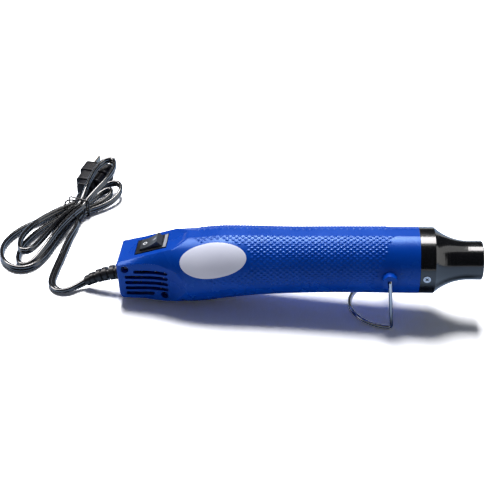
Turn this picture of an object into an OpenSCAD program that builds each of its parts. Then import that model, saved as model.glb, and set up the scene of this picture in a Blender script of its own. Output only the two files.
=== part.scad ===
// Embossing heat tool: a hand-held hot-air pencil with a fold-out wire stand and a tied flat cord.
// The tool is drawn with its axis along X, the back of the casing at zero, and then set down on
// its belly and its stand, nose up, on the plane z = 0.

/* [Casing] */
// Length of the casing from its flat back to the nozzle cover
housing_len = 192; // [180:1:210]
// Diameter of the casing at the nozzle cover
front_d = 42.4; // [41:0.2:44]
// Largest diameter of the belly
belly_d = 47.4; // [46:0.2:50]
// Distance of the belly from the back
belly_x = 46; // [44:1:50]
// Depth of the underside below the axis at the belly
belly_depth = 28.5; // [28:0.1:30]
// Depth of the underside below the axis at the tail
tail_depth = 24.6; // [24:0.1:26]
// Wall thickness of the casing
wall = 2.2; // [1.8:0.1:2.6]
// Slope of the flat switch deck at the back, in degrees
deck_slope = 15.9; // [14:0.1:17]
// Height of the deck over the axis at the flat back
deck_back_h = 4.6; // [4:0.1:5.5]
// Width of the switch deck
deck_w = 24; // [22:0.5:25]
// Width of the flat spine along the top
spine_w = 8; // [6:0.5:9]
// Radius of the lower back corner
tail_round = 4.5; // [3:0.1:5]

/* [Vents] */
// Distance of each vent wall from the middle plane
vent_wall_y = 14; // [13.5:0.1:14.5]
// Where the vent wall starts to sweep outward
sweep_start_x = 18; // [16:0.5:20]
// Radius of that sweep
sweep_r = 52; // [48:1:60]
// Where the sweep breaks into the steeper flare
flare_x = 33.5; // [33:0.1:35]
// Angle of the flare, in degrees
flare_angle = 30; // [28:0.5:32]
// Number of slots in each vent
slot_count = 5; // [3:1:5]
// Distance between slots
slot_pitch = 4.15; // [4:0.05:4.3]
// Height of a slot
slot_h = 2.5; // [2:0.1:2.8]
// Height of the top slot's middle, measured from the axis
slot_top_z = -1.4; // [-1.8:0.1:-1]

/* [Switch] */
// Distance of the switch from the back, along the axis
switch_x = 22.3; // [22:0.1:23]
// Length of the switch frame
bezel_l = 21.2; // [20.8:0.1:21.6]
// Width of the switch frame
bezel_w = 15.2; // [14.8:0.1:15.6]
// Length of the rocker
rocker_l = 15.2; // [14.8:0.1:15.4]
// Width of the rocker
rocker_w = 10.6; // [10:0.1:10.8]
// Travel of the rocker from off to on, in degrees
rocker_travel = 24; // [20:1:26]

/* [Nozzle] */
// Length of the nozzle cover
nozzle_len = 40; // [38:1:44]
// Length of its straight ring
ring_len = 9.5; // [9:0.1:11]
// Outer diameter of the outlet
outlet_d = 24.8; // [24:0.1:26]
// Length of the straight outlet
outlet_len = 8; // [7:0.1:9]
// Wall thickness of the nozzle cover
nozzle_wall = 1.4; // [1.2:0.1:1.6]
// Depth of the steel tube's end inside the outlet
tube_setback = 1.5; // [1:0.1:3]

/* [Stand] */
// Distance of the stand's pivot from the back
pivot_x = 173.3; // [168:0.1:176]
// Diameter of the stand's wire
wire_d = 2.3; // [2:0.05:2.5]
// Distance of each leg's middle from the middle plane
leg_y = 23.8; // [23.6:0.1:25]
// Forward lean of the legs against the tool, in degrees
leg_lean = 3.8; // [0:0.1:6]
// Nose-up tilt of the tool on its stand, in degrees
rest_tilt = 3.6; // [3:0.1:5]
// Diameter of each stand boss
boss_d = 9.6; // [9:0.1:10.5]

/* [Heater] */
// Wall thickness of the steel tube
tube_wall = 0.5; // [0.4:0.05:0.6]
// Length of the mica plates
mica_len = 62; // [50:1:64]
// Thickness of the mica plates
mica_t = 0.8; // [0.6:0.05:1]
// Number of turns of the heating winding
coil_turns = 13; // [8:1:14]
// Pitch of the winding
coil_pitch = 3.4; // [3:0.1:3.5]
// Diameter of the coiled heating wire
coil_d = 1.4; // [1:0.1:1.6]

/* [Motor and fan] */
// Diameter of the motor
motor_d = 24; // [22:0.5:24.4]
// Length of the motor
motor_len = 28; // [26:0.5:30]
// Distance of the motor's rear face from the back
motor_x = 61; // [60:0.5:62]
// Diameter of the motor's shaft
shaft_d = 2; // [1.8:0.1:2.3]
// Diameter of the fan
fan_d = 33; // [30:0.5:33]
// Number of fan blades
blade_count = 6; // [4:1:8]

/* [Cord] */
// Width of the flat twin cord
cord_w = 5.2; // [5:0.1:5.4]
// Thickness of the flat twin cord
cord_t = 2.8; // [2.6:0.1:2.9]
// Diameter of the strain relief at the casing
relief_d = 10; // [9:0.2:10.6]
// Diameter of the twist tie's wire
tie_d = 1.3; // [1:0.1:1.5]

/* [Hidden] */

blue = [0.05, 0.25, 0.62];
black = [0.06, 0.06, 0.07];
steel = [0.75, 0.76, 0.78];
mica = [0.72, 0.66, 0.5];
silver = [0.78, 0.78, 0.82];
copper = [0.72, 0.45, 0.2];

$fn = 48;
eps = 0.01;
total_len = housing_len + nozzle_len;
front_r = front_d / 2;
belly_r = belly_d / 2;

// Curves of the casing, each a list of [distance from the back, value]
radius_curve = [
  [0, 19.4], [12, 20.4], [24, 21.9], [34, 23.1], [belly_x, belly_r], [belly_x + 16, belly_r],
  [90, 22.2], [115, front_r + 0.1], [145, front_r - 0.1], [housing_len, front_r]
];
depth_curve = [
  [0, tail_depth], [12, tail_depth], [22, tail_depth + 0.8], [34, belly_depth - 0.7],
  [belly_x - 4, belly_depth], [belly_x + 8, belly_depth - 0.5], [70, 25.6], [90, 23.3],
  [118, 21.7], [145, front_r - 0.1], [housing_len, front_r]
];
hood_width_curve = [
  [0, 14.6], [10, 15.2], [20, 15.8], [28, 17.2], [34.5, 19.4], [41, 21.7], [46.5, 23.6],
  [52, 24], [60, 25], [housing_len, 25]
];
hood_height_curve = [
  [0, 4.1], [10, 5.7], [20, 6.6], [28, 6.5], [34.5, 4.9], [41, 2.6], [46.5, -3.2],
  [54, -2.8], [90, 0.2], [housing_len, 1.5]
];
wall_foot_curve = [
  [0, -22], [30, -21.9], [36, -20.5], [41.4, -17], [46.5, -9.5], [54, -8.6], [90, -6.2],
  [housing_len, -5.2]
];

// Smooth curve through a list of points
function span_of(x, t, i = 0) = (i >= len(t) - 2 || x < t[i + 1][0]) ? i : span_of(x, t, i + 1);
function rate_at(t, i) =
  i == 0 || i == len(t) - 1 ? 0 : (t[i + 1][1] - t[i - 1][1]) / (t[i + 1][0] - t[i - 1][0]);
function follow(x, t) =
  let (
    i = span_of(x, t),
    h = t[i + 1][0] - t[i][0],
    u = (x - t[i][0]) / h,
    a = t[i][1],
    b = t[i + 1][1]
  )
  a + (b - a) * u * u * (3 - 2 * u)
    + h * u * (1 - u) * (rate_at(t, i) * (1 - u) - rate_at(t, i + 1) * u);

// Quarter-round used at the back edges: how far a corner of radius r is drawn in at distance x
function corner_lift(x, r) = x >= r ? 0 : r - sqrt(r * r - (r - x) * (r - x));
back_edge_r = 1.2;

function body_r(x) = follow(x, radius_curve);
function under_z(x) = -follow(x, depth_curve) + corner_lift(x, tail_round);
function centre_z(x) = body_r(x) - follow(x, depth_curve);
function deck_z(x) = deck_back_h + tan(deck_slope) * x;
function half_width(x, z, d) =
  sqrt(max(1, pow(body_r(x) - d, 2) - pow(z - centre_z(x), 2)));
function dome_z(x, y, d) = centre_z(x) + sqrt(pow(body_r(x) - d, 2) - y * y);

// The vent wall: flat, then a sweep, then the steeper flare
function sweep_y(x) = sweep_r - sqrt(sweep_r * sweep_r - pow(max(0, x - sweep_start_x), 2));
function vent_y(x) =
  vent_wall_y + sweep_y(min(x, flare_x)) + max(0, x - flare_x) * tan(flare_angle);

// The deck ends in a diagonal edge on each side of the spine
deck_end_side = 36.5;
deck_end_spine = 42;
function deck_end(y) =
  deck_end_side + (deck_w / 2 - y) * (deck_end_spine - deck_end_side) / ((deck_w - spine_w) / 2);
function top_z(x, y) =
  y < spine_w / 2 ? min(deck_z(x), dome_z(x, spine_w / 2, 0))
  : x > deck_end(y) + 0.1 ? dome_z(x, y, 0)
  : min(deck_z(x), dome_z(x, y, 0));

// One side of a cross-section from the underside to the top, as [y, z], drawn in by d
bottom_steps = 6;
wall_steps = 4;
hood_steps = 5;
ledge_h = 1.6;
function polar_mix(a, b, c, u) =
  let (
    ra = norm(a - c), rb = norm(b - c),
    fa = atan2(a[1] - c[1], a[0]), fb = atan2(b[1] - c[1], b[0]),
    r = ra + (rb - ra) * u, f = fa + (fb - fa) * u
  )
  [r * cos(f), c[1] + r * sin(f)];
function half_section(x, d) =
  let (
    c = [0, centre_z(x)],
    foot_z = follow(x, wall_foot_curve) + corner_lift(x, tail_round) + 0.8 * d,
    foot = [min(vent_y(x) - d, half_width(x, foot_z, d)), foot_z],
    hood_z = min(follow(x, hood_height_curve), deck_z(x) - 0.5) - 0.3 * d,
    hood = [min(follow(x, hood_width_curve) - 1.15 * d, half_width(x, hood_z, d)), hood_z],
    ledge_z = hood_z - ledge_h,
    ledge = [min(vent_y(x) - d, half_width(x, ledge_z, d)), ledge_z],
    under = [0, under_z(x) + d],
    edge_y = deck_w / 2,
    crease = [edge_y - 0.8 * d, top_z(x, edge_y) - 1.05 * d]
  )
  concat(
    [for (i = [0:bottom_steps - 1]) polar_mix(under + [eps, 0], foot, c, i / bottom_steps)
      - (i == 0 ? [eps, 0] : [0, 0])],
    [for (i = [0:wall_steps - 1])
      let (z = foot_z + (ledge_z - foot_z) * i / wall_steps)
      [min(vent_y(x) - d, half_width(x, z, d)), z]],
    [ledge],
    [for (i = [0:hood_steps]) polar_mix(hood, crease, c, i / hood_steps)],
    [for (y = [(deck_w + spine_w) / 4, spine_w / 2]) [y, top_z(x, y) - 1.05 * d]],
    [[0, top_z(x, 0) - 1.05 * d]]
  );

// Stations along the casing
back_stations = [0, 0.3, 0.7, 1.2, wall, tail_round];
flare_end_x = 46.5;
stations = concat(
  back_stations,
  [for (i = [1:7]) tail_round + (flare_x - tail_round) * i / 7],
  [for (i = [1:9]) flare_x + (flare_end_x - flare_x) * i / 9],
  [for (i = [1:16]) flare_end_x + (housing_len - flare_end_x) * pow(i / 16, 1.25)]
);
cup_start = 4;
ring_n = bottom_steps + wall_steps + hood_steps + 5;

// The left half of the casing wall as one closed surface
module half_casing() {
  n = ring_n;
  m = len(stations);
  outer = [for (x = stations) for (p = half_section(x, corner_lift(x, back_edge_r))) [x, -p[0], p[1]]];
  inner = [for (i = [cup_start:m - 1]) for (p = half_section(stations[i], wall))
    [stations[i], -p[0], p[1]]];
  hubs = [[0, 0, centre_z(0)], [wall, 0, centre_z(wall)]];
  o = function(i, j) i * n + j;
  q = function(i, j) m * n + (i - cup_start) * n + j;
  hub = m * n + (m - cup_start) * n;
  t = n - 1;
  k = cup_start;
  skin = [for (i = [0:m - 2]) for (j = [0:n - 2])
    each [[o(i, j), o(i + 1, j), o(i, j + 1)], [o(i + 1, j), o(i + 1, j + 1), o(i, j + 1)]]];
  lining = [for (i = [k:m - 2]) for (j = [0:n - 2])
    each [[q(i, j), q(i, j + 1), q(i + 1, j)], [q(i + 1, j), q(i, j + 1), q(i + 1, j + 1)]]];
  back = [for (j = [0:n - 2]) [hub, o(0, j), o(0, j + 1)]];
  cup = [for (j = [0:n - 2]) [hub + 1, q(k, j + 1), q(k, j)]];
  nose = [for (j = [0:n - 2])
    each [[o(m - 1, j), q(m - 1, j), o(m - 1, j + 1)], [q(m - 1, j), q(m - 1, j + 1), o(m - 1, j + 1)]]];
  seam = [for (i = [k:m - 2])
    each [
      [o(i, 0), q(i, 0), o(i + 1, 0)], [q(i, 0), q(i + 1, 0), o(i + 1, 0)],
      [o(i, t), o(i + 1, t), q(i, t)], [q(i, t), o(i + 1, t), q(i + 1, t)]
    ]];
  plate = concat(
    [[hub, o(0, t), o(1, t)], [hub, o(1, t), o(1, 0)], [hub, o(1, 0), o(0, 0)]],
    [for (i = [1:k - 2]) each [[o(i, 0), o(i, t), o(i + 1, t)], [o(i, 0), o(i + 1, t), o(i + 1, 0)]]],
    [[o(k - 1, 0), o(k - 1, t), o(k, t)], [o(k - 1, 0), o(k, t), q(k, t)],
     [o(k - 1, 0), q(k, t), hub + 1], [o(k - 1, 0), hub + 1, q(k, 0)], [o(k - 1, 0), q(k, 0), o(k, 0)]]
  );
  faces = concat(skin, lining, back, cup, nose, seam, plate);
  polyhedron(concat(outer, inner, hubs), [for (f = faces) reversed(f)]);
}

// Helpers: round bars along X and along Y, and the switch deck's own frame
module bar_x(x0, x1, r) {
  translate([x0, 0, 0]) rotate([0, 90, 0]) cylinder(h = x1 - x0, r = r);
}
module bar_y(x, z, y0, y1, r) {
  translate([x, y1, z]) rotate([90, 0, 0]) cylinder(h = y1 - y0, r = r);
}
module both_sides() {
  children();
  mirror([0, 1, 0]) children();
}
module left_half() {
  intersection() {
    children();
    translate([-total_len, -total_len, -total_len]) cube([3 * total_len, total_len, 2 * total_len]);
  }
}
module on_deck() {
  translate([switch_x, 0, deck_z(switch_x)]) rotate([0, -deck_slope, 0]) children();
}

// Fits
cover_gap = 0.3;
slide_gap = 0.1;
pin_gap = 0.06;
part_gap = 0.3;
face_gap = 0.02;

// The spigot that carries the nozzle cover
ring_wall = 2;
ring_in_r = front_r - 0.1 - ring_wall;
spigot_r = ring_in_r - cover_gap;
spigot_wall = 2;
spigot_len = ring_len - 2;
spigot_root = 7;
cover_screw_x = housing_len + 4.2;
module spigot() {
  translate([housing_len, 0, 0]) rotate([0, 90, 0]) rotate_extrude()
    polygon([
      [spigot_r - spigot_wall, -spigot_root], [front_r - wall / 2, -spigot_root],
      [front_r - wall / 2, -1.5], [spigot_r, -1.5], [spigot_r, spigot_len],
      [spigot_r - spigot_wall, spigot_len]
    ]);
}

// Stand bosses
wire_r = wire_d / 2;
boss_face_y = leg_y + wire_r + 0.3;
boss_floor_y = leg_y - wire_r - 0.25;
pin_end_y = 15.6;
boss_root_y = 14.4;
module boss_solid() {
  bar_y(pivot_x, 0, -boss_face_y, -(front_r - wall), boss_d / 2);
  bar_y(pivot_x, 0, -(front_r - wall) - eps, -boss_root_y, boss_d / 2 - 1);
}
module boss_cuts() {
  c = wire_r + 0.2;
  reach = boss_d;
  bar_y(pivot_x, 0, -boss_face_y - 1, -pin_end_y + part_gap, wire_r + pin_gap);
  bar_y(pivot_x, 0, -boss_face_y - 1, -boss_floor_y + 0.6, wire_r + 0.5);
  translate([pivot_x, -boss_floor_y, 0]) rotate([90, 0, 0]) linear_extrude(height = 6)
    polygon([
      [-c, c], [-c + reach * sin(leg_lean), c - reach * cos(leg_lean)], [reach, -reach], [reach, c]
    ]);
}

// Casing screws
screw_at = [[5.4, 0.4], [30, -18.4]];
screw_head_r = 2.35;
screw_shank_r = 1.3;
screw_seat_y = 9;
post_r = 3.7;
module screw_posts() {
  for (p = screw_at) bar_y(p[0], p[1], -vent_wall_y + wall - 0.6, -face_gap, post_r);
}

// Vent slots
slot_front_x = 33.2;
slot_back_x = [10.8, 4.6, 4.6, 4.6, 4.6];
slot_last_front_x = 23.4;
module slot_outline(i) {
  r = slot_h / 2;
  x0 = slot_back_x[i] + r;
  x1 = (i == 4 ? slot_last_front_x : slot_front_x) - r;
  z = slot_top_z - i * slot_pitch;
  translate([x0, z]) circle(r = r);
  translate([x1, z]) circle(r = r);
  translate([x0, z - r]) square([x1 - x0, slot_h]);
}
module vent_slots() {
  translate([0, -vent_wall_y + wall + 1.5, 0]) rotate([90, 0, 0]) linear_extrude(height = 12)
    for (i = [0:slot_count - 1]) slot_outline(i);
}

// Switch seat in the deck
bezel_t = 1.8;
bezel_proud = 0.3;
box_l = 19.2;
box_w = 12.8;
box_h = 13;
module switch_seat() {
  on_deck() {
    translate([-bezel_l / 2 - 0.15, -bezel_w / 2 - 0.15, bezel_proud - bezel_t])
      cube([bezel_l + 0.3, bezel_w + 0.3, 10]);
    translate([-box_l / 2 - 0.15, -box_w / 2 - 0.15, -8]) cube([box_l + 0.3, box_w + 0.3, 12]);
  }
}

// Cord entry in the back
cord_z = -11;
neck_r = 3.9;
module cord_entry() {
  translate([-1, 0, cord_z]) rotate([0, 90, 0]) cylinder(h = wall + 2, r = neck_r + 0.05);
}

module casing_half() {
  difference() {
    union() {
      half_casing();
      left_half() spigot();
      boss_solid();
      screw_posts();
    }
    vent_slots();
    switch_seat();
    cord_entry();
    boss_cuts();
    bar_y(cover_screw_x, 0, -front_r, -front_r + 8, 1.2);
  }
}
module housing_left() {
  color(blue) difference() {
    casing_half();
    for (p = screw_at) {
      bar_y(p[0], p[1], -30, -screw_seat_y, screw_head_r + 0.25);
      bar_y(p[0], p[1], -30, 1, screw_shank_r + 0.3);
    }
  }
}
module housing_right() {
  color(blue) mirror([0, 1, 0]) difference() {
    casing_half();
    for (p = screw_at) bar_y(p[0], p[1], -9, 1, screw_shank_r + pin_gap);
  }
}

recess_l = 2.7;
recess_w = 0.65;
recess_h = 0.8;
module cross_recess(x, y, z) {
  translate([x, y, z]) for (a = [45, 135]) rotate([0, a, 0])
    cube([recess_l, 2 * recess_h, recess_w], center = true);
}
screw_head_h = 1.8;
module housing_screws() {
  color(steel) for (p = screw_at) difference() {
    union() {
      bar_y(p[0], p[1], -screw_seat_y - screw_head_h, -screw_seat_y - face_gap, screw_head_r);
      bar_y(p[0], p[1], -screw_seat_y - 0.5, 8, screw_shank_r);
    }
    cross_recess(p[0], -screw_seat_y - screw_head_h, p[1]);
  }
}

// Nozzle cover: a ring, a concave flare on one arc, and a straight outlet
outlet_r = outlet_d / 2;
ring_r = front_r - 0.1;
flare_rise = ring_r - outlet_r;
flare_run = nozzle_len - ring_len - outlet_len;
flare_r = (flare_run * flare_run + flare_rise * flare_rise) / (2 * flare_rise);
flare_turn = asin(flare_run / flare_r);
flare_steps = 14;
function flare_arc(r) = [for (i = [0:flare_steps])
  let (a = flare_turn * (1 - i / flare_steps))
  [outlet_r + flare_r - r * cos(a), nozzle_len - outlet_len - r * sin(a)]];
function inner_flare() = [for (p = flare_arc(flare_r + nozzle_wall)) if (p[0] < ring_in_r - 0.2) p];
lip = 0.5;
module nozzle_cover() {
  color(black) difference() {
    translate([housing_len, 0, 0]) rotate([0, 90, 0]) rotate_extrude() polygon(concat(
      [[ring_in_r, 0], [ring_r - 0.2, 0], [ring_r, 0.2]],
      flare_arc(flare_r),
      [[outlet_r, nozzle_len - lip], [outlet_r - lip, nozzle_len],
       [outlet_r - nozzle_wall, nozzle_len]],
      [for (i = [len(inner_flare()) - 1:-1:0]) inner_flare()[i]],
      [[ring_in_r, inner_flare()[0][1] - 0.8]]
    ));
    both_sides() {
      bar_y(cover_screw_x, 0, -ring_r - 2, -ring_r + 1.2, 2.6);
      bar_y(cover_screw_x, 0, -ring_r - 2, -ring_r + 4, 1.35);
    }
  }
}
module nozzle_screws() {
  color(steel) both_sides() difference() {
    union() {
      bar_y(cover_screw_x, 0, -ring_r - 0.3, -ring_r + 1.2 - face_gap, screw_head_r);
      bar_y(cover_screw_x, 0, -ring_r + 1, -ring_r + 6, 1.15);
    }
    cross_recess(cover_screw_x, -ring_r - 0.3, 0);
  }
}

// Heater: steel tube, mica lining, crossed plates and winding
tube_gap = 0.3;
tube_r = outlet_r - nozzle_wall - tube_gap;
tube_end_x = total_len - tube_setback;
sleeve_lead = 8;
sleeve_setback = 3;
coil_lead = 12;
socket_x0 = 124;
socket_x1 = 137;
tube_start_x = socket_x0 + 2;
sleeve_r = tube_r - tube_wall - slide_gap;
sleeve_wall = 0.4;
plate_half = sleeve_r - sleeve_wall - 0.1;
mica_x = 152;
module pipe_x(x0, x1, r, t) {
  difference() {
    bar_x(x0, x1, r);
    bar_x(x0 - 1, x1 + 1, r - t);
  }
}
module outlet_tube() {
  color(steel) pipe_x(tube_start_x, tube_end_x, tube_r, tube_wall);
}
module mica_sleeve() {
  color(mica) pipe_x(mica_x - sleeve_lead, tube_end_x - sleeve_setback, sleeve_r, sleeve_wall);
}
coil_x0 = mica_x + coil_lead;
coil_r = plate_half - 0.85;
notch_r = coil_r - coil_d / 2 - 0.4;
notch_w = coil_d + 0.5;
function notch_x(fin, k) = coil_x0 - mica_x + (k + fin / 4) * coil_pitch;
function fin_edge(fin, s) = concat(
  [[0, s * plate_half]],
  [for (k = [0:coil_turns - 1]) let (x = notch_x(fin, k)) each [
    [x - notch_w / 2, s * plate_half], [x - notch_w / 2, s * notch_r],
    [x + notch_w / 2, s * notch_r], [x + notch_w / 2, s * plate_half]
  ]],
  [[mica_len, s * plate_half]]
);
function reversed(list) = [for (i = [len(list) - 1:-1:0]) list[i]];
module mica_plate(fin) {
  translate([mica_x, 0, -mica_t / 2]) linear_extrude(height = mica_t)
    polygon(concat(fin_edge(fin + 2, -1), reversed(fin_edge(fin, 1))));
}
module heater_frame() {
  color(mica) {
    mica_plate(0);
    rotate([90, 0, 0]) mica_plate(1);
  }
}
cutoff_r = 2;
module thermal_cutoff() {
  color(silver) translate([0, cutoff_r + mica_t / 2 + 0.1, cutoff_r + mica_t / 2 + 0.1]) {
    bar_x(mica_x + 1, mica_x + 9, cutoff_r);
    bar_x(mica_x - 4, mica_x + 10.5, 0.4);
  }
}

// Tubes swept along a list of points
function unit(v) = v / norm(v);
function heading(p, i) = unit(p[min(i + 1, len(p) - 1)] - p[max(i - 1, 0)]);
function side_of(d) = unit(cross(d, [0, 0, 1]));
module swept(points, outline) {
  n = len(outline);
  m = len(points);
  rings = [for (i = [0:m - 1])
    let (d = heading(points, i), s = side_of(d), u = cross(s, d))
    for (q = outline) points[i] + q[0] * s + q[1] * u];
  sides = [for (i = [0:m - 2]) for (j = [0:n - 1]) let (a = i * n + j, b = i * n + (j + 1) % n)
    each [[a, a + n, b], [b, a + n, b + n]]];
  first = [for (j = [1:n - 2]) [0, j, j + 1]];
  last = [for (j = [1:n - 2]) let (a = (m - 1) * n) [a, a + j + 1, a + j]];
  polyhedron(concat(rings), concat(sides, first, last));
}
function ring_outline(r, n) = [for (j = [0:n - 1]) r * [cos(360 * j / n), -sin(360 * j / n)]];
function flat_outline(t, w) = let (a = t / 2, b = w / 2) [
  [a, b * 0.5], [a, -b * 0.5], [a * 0.5, -b], [-a * 0.5, -b],
  [-a, -b * 0.5], [-a, b * 0.5], [-a * 0.5, b], [a * 0.5, b]
];
function hex_outline(t, w) = let (a = t / 2, b = w / 2) [
  [a, b * 0.45], [a, -b * 0.45], [0, -b], [-a, -b * 0.45], [-a, b * 0.45], [0, b]
];

coil_steps = 8;
function coil_point(k) = let (
    a = 360 * k / coil_steps,
    r = k % 2 == 0 ? coil_r : coil_r * cos(45) + 0.35
  )
  [coil_x0 + coil_pitch * k / coil_steps, r * cos(a), r * sin(a)];
coil_points = [for (k = [0:coil_turns * coil_steps - coil_steps / 2]) coil_point(k)];
module heater_coil() {
  color(copper) swept(coil_points, ring_outline(coil_d / 2, 6));
}

// Air duct round the fan, with the cone that leads into the tube
rim_gap = 1.1;
function rim_r(x) = body_r(x) - wall - rim_gap;
duct_x = motor_x + motor_len + 2;
fan_gap = 0.4;
duct_r = fan_d / 2 + fan_gap;
duct_wall = 1;
fan_ring_len = 13;
cone_x = duct_x + fan_ring_len;
cone_len = 16;
cone_end_x = cone_x + cone_len;
flange_x = cone_x + 0.31 * cone_len;
flange_t = 2;
module air_duct() {
  in_r = tube_r + slide_gap;
  cone_in_r = function(x) duct_r + (in_r - 1.2 - duct_r) * (x - cone_x) / cone_len;
  cone_out_r = function(x) duct_r + duct_wall + (in_r + 1.6 - duct_r - duct_wall) * (x - cone_x) / cone_len;
  flange_in_r = (cone_in_r(flange_x) + cone_out_r(flange_x + flange_t)) / 2;
  color([0.85, 0.84, 0.8]) {
    rotate([0, 90, 0]) rotate_extrude() polygon([
      [duct_r, duct_x], [duct_r + duct_wall, duct_x], [duct_r + duct_wall, duct_x + fan_ring_len],
      [in_r + 1.6, cone_end_x], [in_r + 1.6, socket_x1], [in_r, socket_x1], [in_r, socket_x0],
      [in_r - 1.2, socket_x0], [in_r - 1.2, cone_end_x], [duct_r, duct_x + fan_ring_len]
    ]);
    difference() {
      translate([flange_x, 0, centre_z(flange_x)]) rotate([0, 90, 0])
        cylinder(h = flange_t, r = rim_r(flange_x));
      bar_x(flange_x - 1, flange_x + flange_t + 1, flange_in_r);
      spine_cut(flange_x);
    }
  }
}
module spine_cut(x) {
  translate([x - 5, -spine_w, top_z(x, 0) - wall * 1.05 - part_gap]) cube([14, 2 * spine_w, 10]);
}

// Motor, its mount, the rectifier board, the shaft and the fan
motor_r = motor_d / 2;
motor_end = motor_x + motor_len;
shaft_r = shaft_d / 2;
module fan_motor() {
  color(steel) difference() {
    union() {
      bar_x(motor_x, motor_end, motor_r);
      bar_x(motor_end - eps, motor_end + 1.4, 3);
      bar_x(motor_x - 2, motor_x + eps, 3.4);
      for (s = [-1, 1]) translate([motor_x - 3.4, s * 7 - 0.4, -1.5]) cube([3.6, 0.8, 3]);
    }
    bar_x(motor_x - 3, motor_end + 3, shaft_r + 0.05);
  }
}
mount_x = motor_end - 3.5;
mount_t = 2.5;
module motor_mount() {
  color(black) difference() {
    union() {
      for (x = [motor_x + 3, mount_x]) translate([x, 0, centre_z(x)]) rotate([0, 90, 0])
        cylinder(h = mount_t, r = rim_r(x));
      bar_x(motor_x + 3, mount_x + mount_t, motor_r + 1.2);
    }
    bar_x(motor_x - 1, motor_end + 1, motor_r + pin_gap);
    for (a = [30:60:330]) rotate([a, 0, 0]) translate([0, 0, motor_r + 3.9]) bar_x(motor_x, motor_end, 2.1);
    for (x = [motor_x + 3, mount_x]) spine_cut(x);
  }
}
board_x = motor_x - 3.4 - 1.6;
module rectifier_board() {
  color([0.1, 0.35, 0.15]) bar_x(board_x, board_x + 1.6 - face_gap, 10.5);
  color(black) for (i = [-1.5:1:1.5])
    translate([board_x - 1.4, i * 4.2, -2.6]) cylinder(h = 5.2, r = 1.42);
}
fan_x0 = duct_x + 1.5;
hub_len = 9;
module motor_shaft() {
  color(steel) bar_x(motor_x - 1.5, fan_x0 + hub_len + 1, shaft_r);
}
blade_pitch = 38;
module fan_impeller() {
  color([0.2, 0.2, 0.22]) difference() {
    union() {
      bar_x(fan_x0, fan_x0 + hub_len, 5);
      intersection() {
        bar_x(fan_x0 + 0.2, fan_x0 + hub_len - 0.2, fan_d / 2);
        for (i = [0:blade_count - 1]) rotate([360 * i / blade_count, 0, 0])
          translate([fan_x0 + hub_len / 2, 0, 4]) rotate([0, 0, blade_pitch])
            translate([-6.5, -0.6, 0]) cube([13, 1.2, fan_d / 2]);
      }
    }
    bar_x(fan_x0 - 1, fan_x0 + hub_len + 1, shaft_r + 0.02);
  }
}

// Rocker switch, drawn in the deck's own frame
pivot_drop = 1.6;
rocker_gap = 0.35;
tip_l = 6.37;
tip_h = 4.47;
rocker_sag = 0.9;
trunnion_r = 1;
function rocker_top() = [for (i = [0:10]) let (u = i / 5 - 1)
  [tip_l * u, tip_h - rocker_sag * (1 - u * u)]];
module rocker_profile() {
  polygon(concat(rocker_top(), [
    [rocker_l / 2, 0], [rocker_l / 2 - 2, -3], [-rocker_l / 2 + 2, -3], [-rocker_l / 2, 0]
  ]));
}
module switch_rocker() {
  color(black) on_deck() translate([0, 0, bezel_proud - pivot_drop]) rotate([0, -rocker_travel / 2, 0]) {
    translate([0, rocker_w / 2, 0]) rotate([90, 0, 0]) linear_extrude(height = rocker_w) rocker_profile();
    translate([0, rocker_w / 2 + 0.9, 0]) rotate([90, 0, 0])
      cylinder(h = rocker_w + 1.8, r = trunnion_r);
  }
}
module switch_body() {
  open_l = rocker_l + 2 * rocker_gap + 0.3;
  open_w = rocker_w + 2 * rocker_gap;
  color(black) on_deck() translate([0, 0, bezel_proud]) difference() {
    union() {
      translate([-bezel_l / 2, -bezel_w / 2, -bezel_t + face_gap]) cube([bezel_l, bezel_w, bezel_t - face_gap]);
      translate([-box_l / 2, -box_w / 2, -box_h]) cube([box_l, box_w, box_h - 1]);
    }
    translate([-open_l / 2, -open_w / 2, -pivot_drop - 6.6]) cube([open_l, open_w, 20]);
    translate([0, box_w, -pivot_drop]) rotate([90, 0, 0]) cylinder(h = 2 * box_w, r = trunnion_r + pin_gap);
  }
}
terminal_l = 7;
terminal_u = [-5.5, 2];
terminal_t = 0.8;
terminal_v = bezel_proud - box_h - terminal_l - face_gap;
module switch_terminals() {
  color(copper) on_deck() for (x = terminal_u) translate([x, -2.4, terminal_v + face_gap])
    cube([terminal_t, 4.8, terminal_l - face_gap]);
}

// Oval label on the near side of the belly
label_x = 63.2;
label_l = 42;
label_turn = 28;
label_mid = 38;
label_ring = 36;
function label_point(u, f, lift) = let (
    x = label_x + u * label_l / 2 * cos(f),
    a = label_mid + u * label_turn * sin(f),
    r = body_r(x) + lift
  )
  [x, -r * cos(a), centre_z(x) + r * sin(a)];
module rating_label() {
  n = label_ring;
  shares = [0.35, 0.7, 1];
  rings = len(shares);
  layer = function(lift) concat([label_point(0, 0, lift)],
    [for (u = shares) for (j = [0:n - 1]) label_point(u, 360 * j / n, lift)]);
  at = function(r, j) 1 + r * n + j % n;
  top = [for (j = [0:n - 1]) [0, at(0, j + 1), at(0, j)]];
  bands = [for (r = [0:rings - 2]) for (j = [0:n - 1])
    each [[at(r, j), at(r, j + 1), at(r + 1, j)], [at(r, j + 1), at(r + 1, j + 1), at(r + 1, j)]]];
  low = 1 + rings * n;
  under = [for (f = concat(top, bands)) [f[0] + low, f[2] + low, f[1] + low]];
  rim = [for (j = [0:n - 1]) let (a = at(rings - 1, j), b = at(rings - 1, j + 1))
    each [[a, b, a + low], [b, b + low, a + low]]];
  color(silver) polyhedron(concat(layer(0.42), layer(0.12)), concat(top, bands, under, rim));
}

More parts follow.
